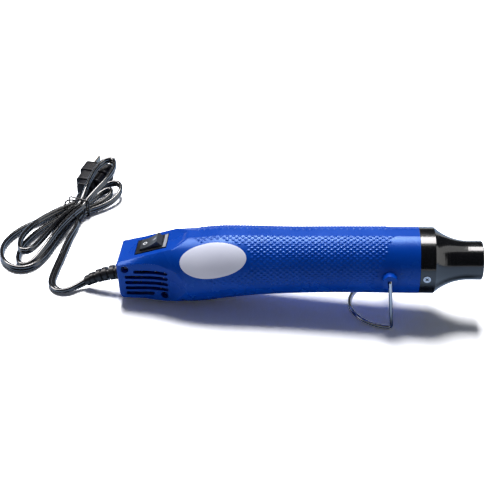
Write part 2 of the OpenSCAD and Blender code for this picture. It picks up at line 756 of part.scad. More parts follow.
// Placing the tool: tilted nose up, lowest point of the belly on z = 0, middle of its length at x = 0
belly_low = min([for (x = stations) x * sin(rest_tilt) + under_z(x) * cos(rest_tilt)]);
mid_x = total_len / 2 * cos(rest_tilt);
function to_rest(p) = [
  p[0] * cos(rest_tilt) - p[2] * sin(rest_tilt) - mid_x, p[1],
  p[0] * sin(rest_tilt) + p[2] * cos(rest_tilt) - belly_low
];
module at_rest() {
  translate([-mid_x, 0, -belly_low]) rotate([0, -rest_tilt, 0]) children();
}

// Wire stand: pins in the bosses, two legs and a half-round foot flat on the ground
pivot_at = to_rest([pivot_x, 0, 0]);
leg_tilt = rest_tilt + leg_lean;
leg_len = (pivot_at[2] - wire_r) / cos(leg_tilt);
elbow_r = 2.2;
ankle_r = 1.6;
ankle_turn = 90 + leg_tilt;
ankle_cut = ankle_r * tan(ankle_turn / 2);
ankle_lap = 5;
ankle_x = pivot_at[0] + leg_len * sin(leg_tilt) - ankle_cut;
foot_run = 0.8;
foot_x = ankle_x - foot_run;
module bend(r, turn) {
  rotate_extrude(angle = turn) translate([r, 0]) circle(r = wire_r);
}
module stand_side() {
  translate(pivot_at) rotate([0, -leg_tilt, 0]) {
    translate([0, -pin_end_y, 0]) rotate([90, 0, 0]) cylinder(h = leg_y - elbow_r - pin_end_y, r = wire_r);
    translate([0, elbow_r - leg_y, -elbow_r]) rotate([0, -90, 0]) rotate([0, 0, -90]) bend(elbow_r, 90);
    translate([0, -leg_y, ankle_cut - leg_len]) cylinder(h = leg_len - ankle_cut - elbow_r, r = wire_r);
  }
  translate([ankle_x, -leg_y, wire_r + ankle_r]) rotate([90, 0, 0]) rotate([0, 0, -90 - ankle_lap])
    rotate_extrude(angle = ankle_turn + 2 * ankle_lap) translate([ankle_r, 0])
      circle(r = wire_r - 0.01);
  translate([foot_x, -leg_y, wire_r]) rotate([0, 90, 0]) cylinder(h = foot_run, r = wire_r);
  translate([foot_x, 0, wire_r]) rotate([0, 0, 180]) bend(leg_y, 90);
}
module stand_wire() {
  color(silver) both_sides() stand_side();
}

// Strain relief: a bent core with ribs that get smaller
relief_r = relief_d / 2;
bend_r = 51.5;
bend_start = 4;
bend_turn = 29;
core_r = 3.1;
neck_x = 4.2;
function relief_at(s) = let (a = bend_start + s / bend_r * 180 / PI)
  [-bend_r * (sin(a) - sin(bend_start)), 0, cord_z - bend_r * (cos(bend_start) - cos(a)), a];
rib_at = [[0.5, 1], [4.6, 0.98], [9.4, 0.92], [13.6, 0.88], [18.6, 0.78], [22.4, 0.72]];
rib_len = 2.9;
module strain_relief() {
  color(black) {
    translate([0, 0, cord_z]) bar_x(-0.6, neck_x, neck_r);
    translate([0, 0, cord_z]) bar_x(wall + 0.15, neck_x, 5.6);
    translate([-bend_r * -sin(bend_start), 0, cord_z - bend_r * cos(bend_start)]) rotate([90, 0, 0])
      rotate([0, 0, 90 + bend_start]) rotate_extrude(angle = bend_turn) translate([bend_r, 0]) circle(r = core_r);
    for (k = rib_at) let (p = relief_at(k[0])) translate([p[0], 0, p[2]]) rotate([0, -90 - p[3], 0])
      cylinder(h = rib_len, r = relief_r * k[1]);
  }
}

// Cord clamp and the wires inside
clamp_x = 9;
clamp_l = 5;
module cord_clamp() {
  color(black) difference() {
    translate([clamp_x, -8, cord_z - 3.4]) cube([clamp_l, 16, 6.8]);
    translate([clamp_x - 1, -cord_w / 2 - 0.05, cord_z - cord_t / 2 - 0.05])
      cube([clamp_l + 2, cord_w + 0.1, cord_t + 0.1]);
  }
}
lead_r = 0.9;
function deck_point(u, v) = [
  switch_x + u * cos(deck_slope) - v * sin(deck_slope), 0,
  deck_z(switch_x) + u * sin(deck_slope) + v * cos(deck_slope)
];
live_lead = [
  [neck_x + 0.05, -1.3, cord_z], [clamp_x + clamp_l, -1.3, cord_z],
  deck_point(terminal_u[0] + terminal_t / 2, terminal_v - 3.2) + [-1.2, -0.4, 0],
  deck_point(terminal_u[0] + terminal_t / 2, terminal_v - 1.6),
  deck_point(terminal_u[0] + terminal_t / 2, terminal_v)
];
back_lead = [
  [neck_x + 0.05, 1.3, cord_z], [clamp_x + clamp_l + 4, 1.3, cord_z], [30, 5, -11.5], [44, 6, -10.5],
  [board_x - 3.5, 5, -7], [board_x - face_gap, 5, -7]
];
heat_lead = [
  deck_point(terminal_u[1] + terminal_t / 2, terminal_v),
  deck_point(terminal_u[1] + terminal_t / 2, terminal_v - 2),
  deck_point(9, terminal_v - 4) + [0, 3, 0], [44, 7, 0], [board_x - 3.5, 7, 6],
  [board_x - face_gap, 7, 6]
];
module inner_leads() {
  color([0.75, 0.1, 0.08]) for (path = [live_lead, back_lead, heat_lead])
    swept(path, ring_outline(lead_r, 6));
}

// Free cord from the strain relief to the tie, lying on edge on the ground
cord_r = cord_w / 2;
relief_end = to_rest([for (i = [0:2]) relief_at(bend_r * bend_turn * PI / 180)[i]]);
end_pitch = bend_start + bend_turn + rest_tilt;
lay_h = cord_r + 0.05;
lead_route = [
  [-146, -4.5, 3.2], [-150, -7.5, lay_h], [-154, -8.5, lay_h], [-158.5, -6.5, lay_h], [-162, -2, lay_h],
  [-163.5, 5, lay_h], [-163.5, 15, lay_h], [-163, 28, lay_h], [-162.5, 42, lay_h], [-161.5, 56, lay_h],
  [-160, 68, 3.2]
];
// The hank: bulbs to the right and to the left of the waist, wound one inside the next
waist = [-162, 88];
bundle_turn = 71;
strand_step = 3.7;
tie_lift = tie_d + 0.15;
layer_h = [cord_r + tie_lift, cord_r + tie_lift + cord_w + 0.6];
function waist_point(v, layer, along) = [
  waist[0] + along * cos(bundle_turn) - v * strand_step * sin(bundle_turn),
  waist[1] + along * sin(bundle_turn) + v * strand_step * cos(bundle_turn),
  layer_h[layer]
];
lead_points = concat(
  [relief_end, relief_end - 2 * [cos(end_pitch), 0, sin(end_pitch)]],
  lead_route,
  [waist_point(-1.5, 0, -12), waist_point(-1.5, 0, -5)]
);

strand_v = [-1.5, 1.5, -0.5, 0.5, -1.5, -0.5, 0.5];
strand_layer = [0, 0, 0, 0, 1, 1, 1];
bulb_reach = [42, 84, 34, 78, 51, 72];
bulb_half = [5.4, 17.4, 1.9, 7, 6.5, -5.5];
bulb_turn = [50, 70, 50, 70, 76, 70];
bulb_lean = [-1.5, -7.9, -0.8, -5.6, 1, -6.4];
bulb_rise = [6, 0, 4, 0, 11, 1.2];
bulb_rise_power = [4, 4, 4, 4, 1, 4];
bulb_steps = 12;
function ease(t) = t * t * (3 - 2 * t);
function bulb_point(b, i) = let (
    s = i / bulb_steps,
    dir = b % 2 == 0 ? 1 : -1,
    bow = sin(180 * s),
    a = bulb_reach[b] * bow * bow,
    w = bulb_lean[b] * pow(sin(360 * s), 2)
      - 1.43 * bulb_half[b] * sin(360 * s) * pow(bow, 1.5),
    v = strand_v[b] + (strand_v[b + 1] - strand_v[b]) * ease(s),
    climb = strand_layer[b] == strand_layer[b + 1] ? 0 : ease(max(0, min(1, 3.3 * s - 1.65))),
    drop = strand_layer[b] == 0 ? min(1, a / 20) * tie_lift * (1 - climb) : 0,
    h = layer_h[strand_layer[b]] + (layer_h[1] - layer_h[0]) * climb
      + bulb_rise[b] * pow(bow, bulb_rise_power[b]) - drop
  )
  waist_point(v, 0, 0) + [
    dir * (a * cos(bulb_turn[b]) - w * sin(bulb_turn[b])),
    dir * (a * sin(bulb_turn[b]) + w * cos(bulb_turn[b])),
    h - layer_h[0]
  ];
plug_at = [-162.5, 110];
plug_turn = 80;
plug_axis = [cos(plug_turn), sin(plug_turn), 0];
plug_h = 15;
plug_entry = [plug_at[0], plug_at[1], plug_h / 2];
tail_points = [
  [waist[0] - 2.3, waist[1] + 5, layer_h[1]], [waist[0] - 2.4, waist[1] + 11, 9.4],
  plug_entry - 6 * plug_axis, plug_entry
];
hank_points = concat(
  [waist_point(-1.5, 0, -5)],
  [for (b = [0:5]) for (i = [0:bulb_steps - 1]) bulb_point(b, i)],
  [bulb_point(5, bulb_steps)],
  tail_points
);

// Least clear distance of the hank to itself, in the thinnest direction of the cord
function flat_gap(p, q) = let (d = p - q)
  max(norm([d[0], d[1]]) - cord_t, abs(d[2]) - cord_w);
gap_steps = 4;
hank_fine = [for (i = [0:len(hank_points) - 2]) for (k = [0:gap_steps - 1])
  hank_points[i] + (hank_points[i + 1] - hank_points[i]) * k / gap_steps];
hank_gap = min([for (i = [0:len(hank_fine) - 1]) for (j = [i + 3 * gap_steps:1:len(hank_fine) - 1])
  flat_gap(hank_fine[i], hank_fine[j])]);
function path_length(p) = len(p) < 2 ? 0 : [for (i = 1, s = norm(p[1] - p[0]); i < len(p);
  i = i + 1, s = s + (i < len(p) ? norm(p[i] - p[i - 1]) : 0)) s][len(p) - 2];
echo(hank_gap = hank_gap, hank_length = path_length(hank_points), lead_length = path_length(lead_points));

module cord_lead() {
  color(black) swept(lead_points, flat_outline(cord_t, cord_w));
}
module cord_hank() {
  color(black) swept(hank_points, hex_outline(cord_t, cord_w));
}

// Twist tie round the waist, a rounded loop close round the strands
tie_half_w = 1.5 * strand_step + cord_t / 2 + tie_d / 2 + 0.55;
tie_low = tie_d / 2 + 0.02;
tie_top = layer_h[1] + cord_r + tie_d / 2 + 0.8;
tie_corner = 2.2;
tie_arc_steps = 4;
function tie_point(q, i) = let (
    f = 90 * q + 90 * i / tie_arc_steps,
    v = (tie_half_w - tie_corner) * (q == 0 || q == 3 ? 1 : -1) + tie_corner * cos(f),
    z = (q < 2 ? tie_top - tie_corner : tie_low + tie_corner) + tie_corner * sin(f)
  )
  [waist[0] - v * sin(bundle_turn), waist[1] + v * cos(bundle_turn), z];
tie_points = [for (q = [3:-1:0]) for (i = [tie_arc_steps:-1:0]) tie_point(q, i)];
module cord_tie() {
  color(black) {
    swept_ring(tie_points, ring_outline(tie_d / 2, 6));
  }
}
module swept_ring(points, outline) {
  n = len(outline);
  m = len(points);
  axis = [cos(bundle_turn), sin(bundle_turn), 0];
  rings = [for (i = [0:m - 1])
    let (d = unit(points[(i + 1) % m] - points[(i + m - 1) % m]), s = axis, u = cross(s, d))
    for (q = outline) points[i] + q[0] * s + q[1] * u];
  sides = [for (i = [0:m - 1]) for (j = [0:n - 1])
    let (a = i * n + j, b = i * n + (j + 1) % n, c = ((i + 1) % m) * n + j, e = ((i + 1) % m) * n + (j + 1) % n)
    each [[a, c, b], [b, c, e]]];
  polyhedron(rings, sides);
}

// Plug: three stepped grips and two blades
grip_w = [13, 19, 22.5];
grip_t = [11, 13, plug_h];
grip_l = [7, 12, 13];
function grip_start(i) = i == 0 ? 0 : grip_start(i - 1) + grip_l[i - 1];
module grip(i) {
  r = 3;
  translate([grip_start(i), 0, (plug_h - grip_t[i]) / 2]) rotate([90, 0, 90])
    linear_extrude(height = grip_l[i] + (i < 2 ? 0.5 : 0)) {
      translate([-grip_w[i] / 2 + r, 0]) square([grip_w[i] - 2 * r, grip_t[i]]);
      translate([-grip_w[i] / 2, r]) square([grip_w[i], grip_t[i] - 2 * r]);
      for (y = [-1, 1]) for (z = [r, grip_t[i] - r]) translate([y * (grip_w[i] / 2 - r), z]) circle(r = r);
    }
}
module at_plug() {
  translate([plug_at[0], plug_at[1], 0]) rotate([0, 0, plug_turn]) children();
}
blade_l = 16;
plug_len = grip_start(2) + grip_l[2];
module plug_body() {
  color(black) at_plug() for (i = [0:2]) grip(i);
}
module plug_blades() {
  color(silver) at_plug() for (s = [-1, 1])
    translate([plug_len + face_gap, s * 6.35 - 0.75, plug_h / 2 - 3.2]) cube([blade_l, 1.5, 6.4]);
}

at_rest() housing_left();
at_rest() housing_right();
at_rest() nozzle_cover();
at_rest() outlet_tube();
at_rest() mica_sleeve();
at_rest() heater_frame();
at_rest() heater_coil();
at_rest() thermal_cutoff();
at_rest() air_duct();
at_rest() fan_motor();
at_rest() motor_mount();
at_rest() rectifier_board();
at_rest() switch_body();
at_rest() switch_terminals();
at_rest() switch_rocker();
at_rest() housing_screws();
at_rest() nozzle_screws();
at_rest() rating_label();
stand_wire();
at_rest() fan_impeller();
at_rest() motor_shaft();
at_rest() inner_leads();
at_rest() cord_clamp();
at_rest() strain_relief();
cord_lead();
cord_hank();
cord_tie();
plug_body();
plug_blades();
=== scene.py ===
import math

import bmesh
import bpy
import numpy as np
from mathutils import Matrix, Vector


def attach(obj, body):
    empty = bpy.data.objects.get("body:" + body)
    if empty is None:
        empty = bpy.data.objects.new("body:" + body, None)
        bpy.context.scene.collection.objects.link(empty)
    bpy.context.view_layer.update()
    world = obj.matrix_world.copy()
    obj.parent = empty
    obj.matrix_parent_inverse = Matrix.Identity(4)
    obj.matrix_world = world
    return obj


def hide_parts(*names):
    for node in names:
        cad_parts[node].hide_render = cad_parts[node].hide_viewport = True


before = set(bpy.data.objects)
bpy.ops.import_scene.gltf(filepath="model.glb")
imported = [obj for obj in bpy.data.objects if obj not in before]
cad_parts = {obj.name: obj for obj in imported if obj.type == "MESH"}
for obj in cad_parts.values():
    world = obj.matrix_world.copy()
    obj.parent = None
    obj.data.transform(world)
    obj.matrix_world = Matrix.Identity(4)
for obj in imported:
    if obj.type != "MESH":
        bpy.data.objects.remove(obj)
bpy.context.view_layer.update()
MM = 0.001
UP = np.array([0, 0, 1.0])

# Sizes repeated from the CAD source, in millimetres and degrees, with x from the casing's flat back
HOUSING_LEN = 192.0
FRONT_R, BELLY_R, WALL = 21.2, 23.7, 2.2
TAIL_DEPTH, BELLY_DEPTH = 24.6, 28.5
DECK_SLOPE, DECK_BACK_H, DECK_W, SPINE_W = 15.9, 4.6, 24.0, 8.0
DECK_END_SIDE, DECK_END_SPINE = 36.5, 42.0
VENT_WALL_Y, SWEEP_START, SWEEP_R, FLARE_X, FLARE_ANGLE = 14.0, 18.0, 52.0, 33.5, 30.0
SLOT_COUNT, SLOT_PITCH, SLOT_H, SLOT_TOP_Z = 5, 4.15, 2.5, -1.4
PIVOT_X, LEG_Y, WIRE_R, LEG_LEAN, BOSS_D = 173.3, 23.8, 1.15, 3.8, 9.6
SWITCH_X, BEZEL_L, BEZEL_W, BEZEL_PROUD = 22.3, 21.2, 15.2, 0.3
CORD_W, CORD_T, CORD_Z, TIE_D = 5.2, 2.8, -11.0, 1.3
PLUG_AT, PLUG_TURN, PLUG_H = (-162.5, 110.0), 80.0, 15.0
# The tool's tilt on its stand, and where that puts it in the row frame
REST_TILT, MID_X, LIFT_Z = math.radians(3.6), 115.771, 25.8726

# Softer edges and fuller margins that the moulded casing shows, in millimetres
TAIL_ROUND, BACK_EDGE_R, DECK_RISE = 7.0, 1.6, 5.0
WALL_FULLER, FULLER_END, FULLER_FADE = 2.2, 42, 10

# Camera fitted to the photograph, in degrees and millimetres
AZIMUTH, ELEVATION, ROLL = math.radians(2.61), math.radians(34.62), math.radians(1.86)
TARGET, DISTANCE = (-31.2, 0, 38.0), 631.9
SENSOR_W, LENS = 36.0, 71.01


# Places and small tools
def to_rest(points):
    """Tool frame in millimetres to the row frame in metres."""
    p = np.asarray(points, float).reshape(-1, 3)
    c, s = math.cos(REST_TILT), math.sin(REST_TILT)
    return np.stack([p[:, 0] * c - p[:, 2] * s - MID_X, p[:, 1],
                     p[:, 0] * s + p[:, 2] * c + LIFT_Z], 1) * MM


def srgb(*rgb):
    """A colour as it shows on a screen, 0 to 255, as linear light."""
    return tuple(((v / 255 + 0.055) / 1.055) ** 2.4 if v > 10 else v / 255 / 12.92 for v in rgb) + (1.0,)


def ease(t):
    """From 0 to 1 with a soft start and end."""
    t = np.clip(t, 0, 1)
    return t * t * (3 - 2 * t)


def link(name, data):
    """A new object in the scene."""
    made = bpy.data.objects.new(name, data)
    bpy.context.scene.collection.objects.link(made)
    return made


def face_out(mesh):
    """Turns the faces of a closed mesh outward."""
    b = bmesh.new()
    b.from_mesh(mesh)
    bmesh.ops.recalc_face_normals(b, faces=b.faces)
    b.to_mesh(mesh)
    b.free()


def shade(piece, sharp):
    """Smooth shading, broken where faces meet at more than sharp degrees."""
    mesh = piece.data
    mesh.polygons.foreach_set("use_smooth", [True] * len(mesh.polygons))
    mesh.set_sharp_from_angle(angle=math.radians(sharp))


def mesh_piece(name, verts, faces, finish, sharp=None, closed=False):
    """A piece from vertices in metres, flat shaded where sharp isn't given."""
    mesh = bpy.data.meshes.new(name)
    mesh.from_pydata([tuple(map(float, v)) for v in verts], [], [tuple(map(int, f)) for f in faces])
    mesh.validate()
    if closed:
        face_out(mesh)
    piece = link(name, mesh)
    mesh.materials.append(finish)
    if sharp:
        shade(piece, sharp)
    return piece


def apply_modifiers(piece):
    bpy.context.view_layer.update()
    made = bpy.data.meshes.new_from_object(piece.evaluated_get(bpy.context.evaluated_depsgraph_get()))
    piece.modifiers.clear()
    piece.data = made


def carve(piece, others, operation):
    """Adds or cuts away temporary objects, and deletes them."""
    for other in others:
        step = piece.modifiers.new("step", "BOOLEAN")
        step.operation, step.object, step.solver = operation, other, "MANIFOLD"
    apply_modifiers(piece)
    for other in others:
        bpy.data.objects.remove(other)


def fit(piece, body, replaces=()):
    """Sets what a piece rides on, and hides the parts of model.glb that it stands for."""
    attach(piece, body)
    if replaces:
        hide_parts(*replaces)
    return piece


def ring_faces(rows, n, closed=False):
    """Faces round rows of n places each, and from the last row to the first if closed."""
    return [(i * n + j, i * n + (j + 1) % n, (i + 1) % rows * n + (j + 1) % n, (i + 1) % rows * n + j)
            for i in range(rows if closed else rows - 1) for j in range(n)]


def end_faces(rows, n):
    """The two faces that close rows of n places each."""
    return [tuple(range(n - 1, -1, -1)), tuple(range((rows - 1) * n, rows * n))]


def tube(points, outline, sides=None, closed=False):
    """Vertices and faces of a tube: outline is (across, up) pairs, sides the across way at each point."""
    p = np.asarray(points, float)
    n, m = len(outline), len(p)
    if closed:
        d = np.roll(p, -1, 0) - np.roll(p, 1, 0)
    else:
        d = np.vstack([p[1] - p[0], p[2:] - p[:-2], p[-1] - p[-2]])
    d /= np.linalg.norm(d, axis=1)[:, None]
    if sides is None:
        sides = np.cross(d, UP)
    sides = np.asarray(sides, float) * np.ones((m, 1))
    sides = sides - (sides * d).sum(1)[:, None] * d
    sides /= np.linalg.norm(sides, axis=1)[:, None]
    ups = np.cross(sides, d)
    across, up = np.asarray(outline, float).T[:, None, :, None]
    verts = (p[:, None] + across * sides[:, None] + up * ups[:, None]).reshape(-1, 3)
    return verts, ring_faces(m, n, closed) + ([] if closed else end_faces(m, n))


def round_outline(r, n):
    return [(r * math.cos(2 * math.pi * k / n), r * math.sin(2 * math.pi * k / n)) for k in range(n)]


def spline(points, steps):
    """A smooth curve through the points, with steps pieces between each two."""
    p = np.asarray(points, float)
    p = np.vstack([2 * p[0] - p[1], p, 2 * p[-1] - p[-2]])
    out = []
    for a, b, c, d in zip(p, p[1:], p[2:], p[3:]):
        for t in np.arange(steps) / steps:
            out.append(0.5 * (2 * b + (c - a) * t + (2 * a - 5 * b + 4 * c - d) * t * t
                              + (3 * b - 3 * c + d - a) * t ** 3))
    out.append(p[-2])
    return np.array(out)


def make_camera():
    back = Vector((math.sin(AZIMUTH) * math.cos(ELEVATION), -math.cos(AZIMUTH) * math.cos(ELEVATION),
                   math.sin(ELEVATION)))
    right = Vector((math.cos(AZIMUTH), math.sin(AZIMUTH), 0))
    up = back.cross(right)
    across = math.cos(ROLL) * right + math.sin(ROLL) * up
    upward = -math.sin(ROLL) * right + math.cos(ROLL) * up
    data = bpy.data.cameras.new("camera")
    data.sensor_width, data.lens = SENSOR_W, LENS
    data.clip_start, data.clip_end = 0.01, 50
    camera = link("camera", data)
    place = Matrix((across, upward, back)).transposed().to_4x4()
    place.translation = Vector(TARGET) * MM + back * DISTANCE * MM
    camera.matrix_world = place
    bpy.context.scene.camera = camera


make_camera()


# Materials: where a noise's low and high patches start
PATCH_STOPS = (0.3, 0.7)


def add_node(nodes, kind, **inputs):
    """A new shader node with its inputs set by name, an underscore for each space."""
    made = nodes.new("ShaderNode" + kind)
    for name, value in inputs.items():
        made.inputs[name.replace("_", " ")].default_value = value
    return made


def material(name, dark, light, rough, metallic=0.0, grain=900, relief=0.1, bump=0.3, patch=60, coat=0.0,
             coat_rough=0.1, specular=0.5, tint=(1, 1, 1)):
    """A moulded or drawn surface: colour and roughness vary in soft patches, with a fine grain in relief."""
    made = bpy.data.materials.new(name)
    made.use_nodes = True
    nodes, links = made.node_tree.nodes, made.node_tree.links
    shader = nodes["Principled BSDF"]
    for socket, value in (("Metallic", metallic), ("Specular IOR Level", specular),
                          ("Specular Tint", tint + (1,)), ("Coat Weight", coat),
                          ("Coat Roughness", coat_rough)):
        shader.inputs[socket].default_value = value
    where = nodes.new("ShaderNodeTexCoord")
    patches = add_node(nodes, "TexNoise", Scale=patch, Detail=5)
    fine = add_node(nodes, "TexNoise", Scale=grain, Detail=3)
    for noise in (patches, fine):
        links.new(where.outputs["Object"], noise.inputs["Vector"])
    ramp = nodes.new("ShaderNodeValToRGB")
    for stop, position, colour in zip(ramp.color_ramp.elements, PATCH_STOPS, (dark, light)):
        stop.position, stop.color = position, colour
    links.new(patches.outputs["Fac"], ramp.inputs["Fac"])
    links.new(ramp.outputs["Color"], shader.inputs["Base Color"])
    span = add_node(nodes, "MapRange", From_Min=PATCH_STOPS[0], From_Max=PATCH_STOPS[1],
                    To_Min=rough[0], To_Max=rough[1])
    links.new(patches.outputs["Fac"], span.inputs["Value"])
    links.new(span.outputs["Result"], shader.inputs["Roughness"])
    rise = add_node(nodes, "Bump", Strength=bump, Distance=relief * MM)
    links.new(fine.outputs["Fac"], rise.inputs["Height"])
    links.new(rise.outputs["Normal"], shader.inputs["Normal"])
    return made


BLUE = material("blue_plastic", srgb(0, 55, 152), srgb(1, 62, 164), (0.24, 0.31), relief=0.012,
                grain=2600, patch=45, bump=0.4, specular=0.32, tint=(0.38, 0.66, 1.0))
BLACK_GLOSS = material("black_gloss", srgb(4, 4, 6), srgb(8, 8, 11), (0.10, 0.16), relief=0.004,
                       grain=1500, specular=1.0)
BLACK_PLASTIC = material("black_plastic", srgb(11, 12, 16), srgb(19, 20, 25), (0.26, 0.36), relief=0.02,
                         grain=2500, specular=0.4)
RUBBER = material("cord_rubber", srgb(7, 7, 10), srgb(13, 13, 18), (0.13, 0.17), relief=0.004,
                  grain=1200, bump=0.04, specular=1.0, coat=1.0, coat_rough=0.06)
PLUG_BLACK = material("plug_rubber", srgb(14, 15, 20), srgb(24, 25, 32), (0.26, 0.36), relief=0.01,
                      grain=1500, specular=0.2)
CHROME = material("chrome", srgb(198, 199, 203), srgb(214, 214, 217), (0.05, 0.14), metallic=1.0,
                  grain=700, relief=0.01)
STEEL = material("screw_steel", srgb(190, 190, 195), srgb(212, 212, 214), (0.18, 0.3), metallic=1.0,
                 grain=1500, relief=0.01)
LABEL = material("label_film", srgb(203, 206, 225), srgb(214, 217, 234), (0.3, 0.42), relief=0.006,
                 grain=3000, patch=25, specular=0.12)
TUBE_STEEL = material("tube_steel", srgb(120, 118, 116), srgb(170, 168, 165), (0.25, 0.4), metallic=1.0,
                      grain=400, relief=0.02)
MICA = material("mica_sheet", srgb(150, 136, 100), srgb(196, 182, 140), (0.4, 0.6), patch=220)
HOT_WIRE = material("heating_wire", srgb(96, 84, 76), srgb(140, 124, 108), (0.35, 0.5), metallic=1.0)
# The motor can's metal is darker than its own colour: painted shade for the dim inside seen through the vent
# slots
CAN_PAINTED_SHADE = material("motor_can", srgb(96, 97, 101), srgb(122, 123, 127), (0.4, 0.5), metallic=1.0, relief=0.01)
CREAM = material("duct_plastic", srgb(196, 190, 172), srgb(210, 204, 188), (0.45, 0.6), relief=0.03)
GREY_FAN = material("fan_plastic", srgb(44, 45, 50), srgb(58, 59, 64), (0.4, 0.5), relief=0.02)
BOARD = material("circuit_board", srgb(20, 84, 44), srgb(34, 110, 60), (0.35, 0.5), patch=300)
# The inner leads' red is darker than their own colour: painted shade for the dim inside seen through the vent
# slots
LEAD_RED_PAINTED_SHADE = material("lead_jacket", srgb(70, 8, 8), srgb(88, 12, 10), (0.55, 0.7), specular=0.2)
BRASS = material("brass_blade", srgb(118, 112, 100), srgb(150, 144, 132), (0.2, 0.34), metallic=1.0,
                 relief=0.01)
# The rocker's black plastic is lighter than the switch body's: a painted sheen, for the light its face
# reflects
ROCKER_PAINTED_SHEEN = material("rocker_plastic_painted_sheen", srgb(36, 40, 48), srgb(48, 52, 60), (0.28, 0.38), relief=0.01,
                        grain=2500)
SIGN = material("sign_paint", srgb(196, 198, 204), srgb(214, 216, 220), (0.5, 0.6), patch=900)
# A light grey strip on the switch frame: a painted reflection, standing in for the glossy black frame's
# sloped front catching the light
PAINTED_REFLECTION_GREY = material("switch_painted_reflection", srgb(128, 131, 140), srgb(152, 155, 163), (0.25, 0.35), patch=300)

NODE_MATERIALS = {
    "nozzle_cover": BLACK_GLOSS, "outlet_tube": TUBE_STEEL, "mica_sleeve": MICA, "heater_frame": MICA,
    "heater_coil": HOT_WIRE, "thermal_cutoff": CAN_PAINTED_SHADE, "air_duct": CREAM, "fan_motor": CAN_PAINTED_SHADE,
    "motor_mount": BLACK_PLASTIC, "rectifier_board": BOARD, "switch_body": BLACK_PLASTIC,
    "switch_terminals": BRASS, "switch_rocker": ROCKER_PAINTED_SHEEN, "housing_screws": STEEL,
    "nozzle_screws": STEEL, "rating_label": LABEL, "stand_wire": CHROME, "fan_impeller": GREY_FAN,
    "motor_shaft": CAN_PAINTED_SHADE, "inner_leads": LEAD_RED_PAINTED_SHADE, "cord_clamp": BLACK_PLASTIC, "strain_relief": BLACK_PLASTIC,
    "cord_lead": RUBBER, "cord_hank": RUBBER, "cord_tie": BLACK_PLASTIC, "plug_body": RUBBER,
    "plug_blades": BRASS, "housing_left": BLUE, "housing_right": BLUE,
}
for node_name, node_material in NODE_MATERIALS.items():
    for material_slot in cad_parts[node_name].material_slots:
        material_slot.material = node_material

# Cord: the route of the CAD source, in millimetres, with its bulbs a little nearer to the photograph's.
# The hank has three bulbs to each side of its waist, wound one inside the next in two layers.
WAIST, BUNDLE_TURN, STRAND_STEP = (-162.0, 88.0), math.radians(71), 3.7
CORD_R, TIE_LIFT, LAYER_GAP = CORD_W / 2, TIE_D + 0.15, 0.6
LAYER_H = (CORD_R + TIE_LIFT, CORD_R + TIE_LIFT + CORD_W + LAYER_GAP)
STRAND_V = (-1.5, 1.5, -0.5, 0.5, -1.5, -0.5, 0.5)
STRAND_LAYER = (0, 0, 0, 0, 1, 1, 1)
BULB_REACH = (41, 80.4, 33.5, 76.4, 51, 71.4)
BULB_HALF = (5.6, 15.0, 3.2, 7.4, 5.6, -6.4)
BULB_TURN = (56, 70, 56, 70, 76, 70)
BULB_LEAN = (-1.5, -7.9, -0.8, -5.6, -0.6, -6.4)
BULB_RISE = (6, 0, 4, 0, 11, 1.2)
BULB_POWER = (4, 4, 4, 4, 1, 4)
BULBS = len(BULB_REACH)
BULB_STEPS, BULB_FULLNESS, SETTLE_REACH = 12, 1.43, 20
CLIMB_RATE, CLIMB_START = 3.3, 0.5
PATH_STEP, PATH_PASSES = 1.6, 7
CORE_SIDES = 14
# Where along the lead the cord turns from its edge to lie flat and back, and its roll there in degrees
LEAD_ROLL_AT, LEAD_ROLL = (6, 22, 62, 96), (0, 74, 74, 0)
RELIEF_END, END_PITCH = np.array([-138.975, 0, 5.192]), math.radians(36.6)
PLUG_AXIS = np.array([math.cos(math.radians(PLUG_TURN)), math.sin(math.radians(PLUG_TURN)), 0])
PLUG_SIDE = np.array([-PLUG_AXIS[1], PLUG_AXIS[0], 0])
PLUG_ENTRY = np.array([PLUG_AT[0], PLUG_AT[1], PLUG_H / 2])


def waist_point(v, layer, along):
    """A place in the bundle: v strands aside, in a layer, and so far along."""
    c, s = math.cos(BUNDLE_TURN), math.sin(BUNDLE_TURN)
    return np.array([WAIST[0] + along * c - v * STRAND_STEP * s, WAIST[1] + along * s + v * STRAND_STEP * c,
                     LAYER_H[layer]])


def bulb_point(b, i):
    """Point i of bulb b, which leaves the waist, swells and comes back beside itself."""
    s = i / BULB_STEPS
    way = 1 if b % 2 == 0 else -1
    bow = abs(math.sin(math.pi * s))
    a = BULB_REACH[b] * bow * bow
    w = (BULB_LEAN[b] * math.sin(2 * math.pi * s) ** 2
         - BULB_FULLNESS * BULB_HALF[b] * math.sin(2 * math.pi * s) * bow ** 1.5)
    v = STRAND_V[b] + (STRAND_V[b + 1] - STRAND_V[b]) * ease(s)
    here, after = STRAND_LAYER[b], STRAND_LAYER[b + 1]
    climb = 0 if here == after else ease(CLIMB_RATE * (s - CLIMB_START))
    settle = min(1, a / SETTLE_REACH) * TIE_LIFT * (1 - climb) if here == 0 else 0
    h = LAYER_H[here] + (LAYER_H[1] - LAYER_H[0]) * climb + BULB_RISE[b] * bow ** BULB_POWER[b] - settle
    turn = math.radians(BULB_TURN[b])
    return waist_point(v, 0, 0) + [way * (a * math.cos(turn) - w * math.sin(turn)),
                                   way * (a * math.sin(turn) + w * math.cos(turn)), h - LAYER_H[0]]


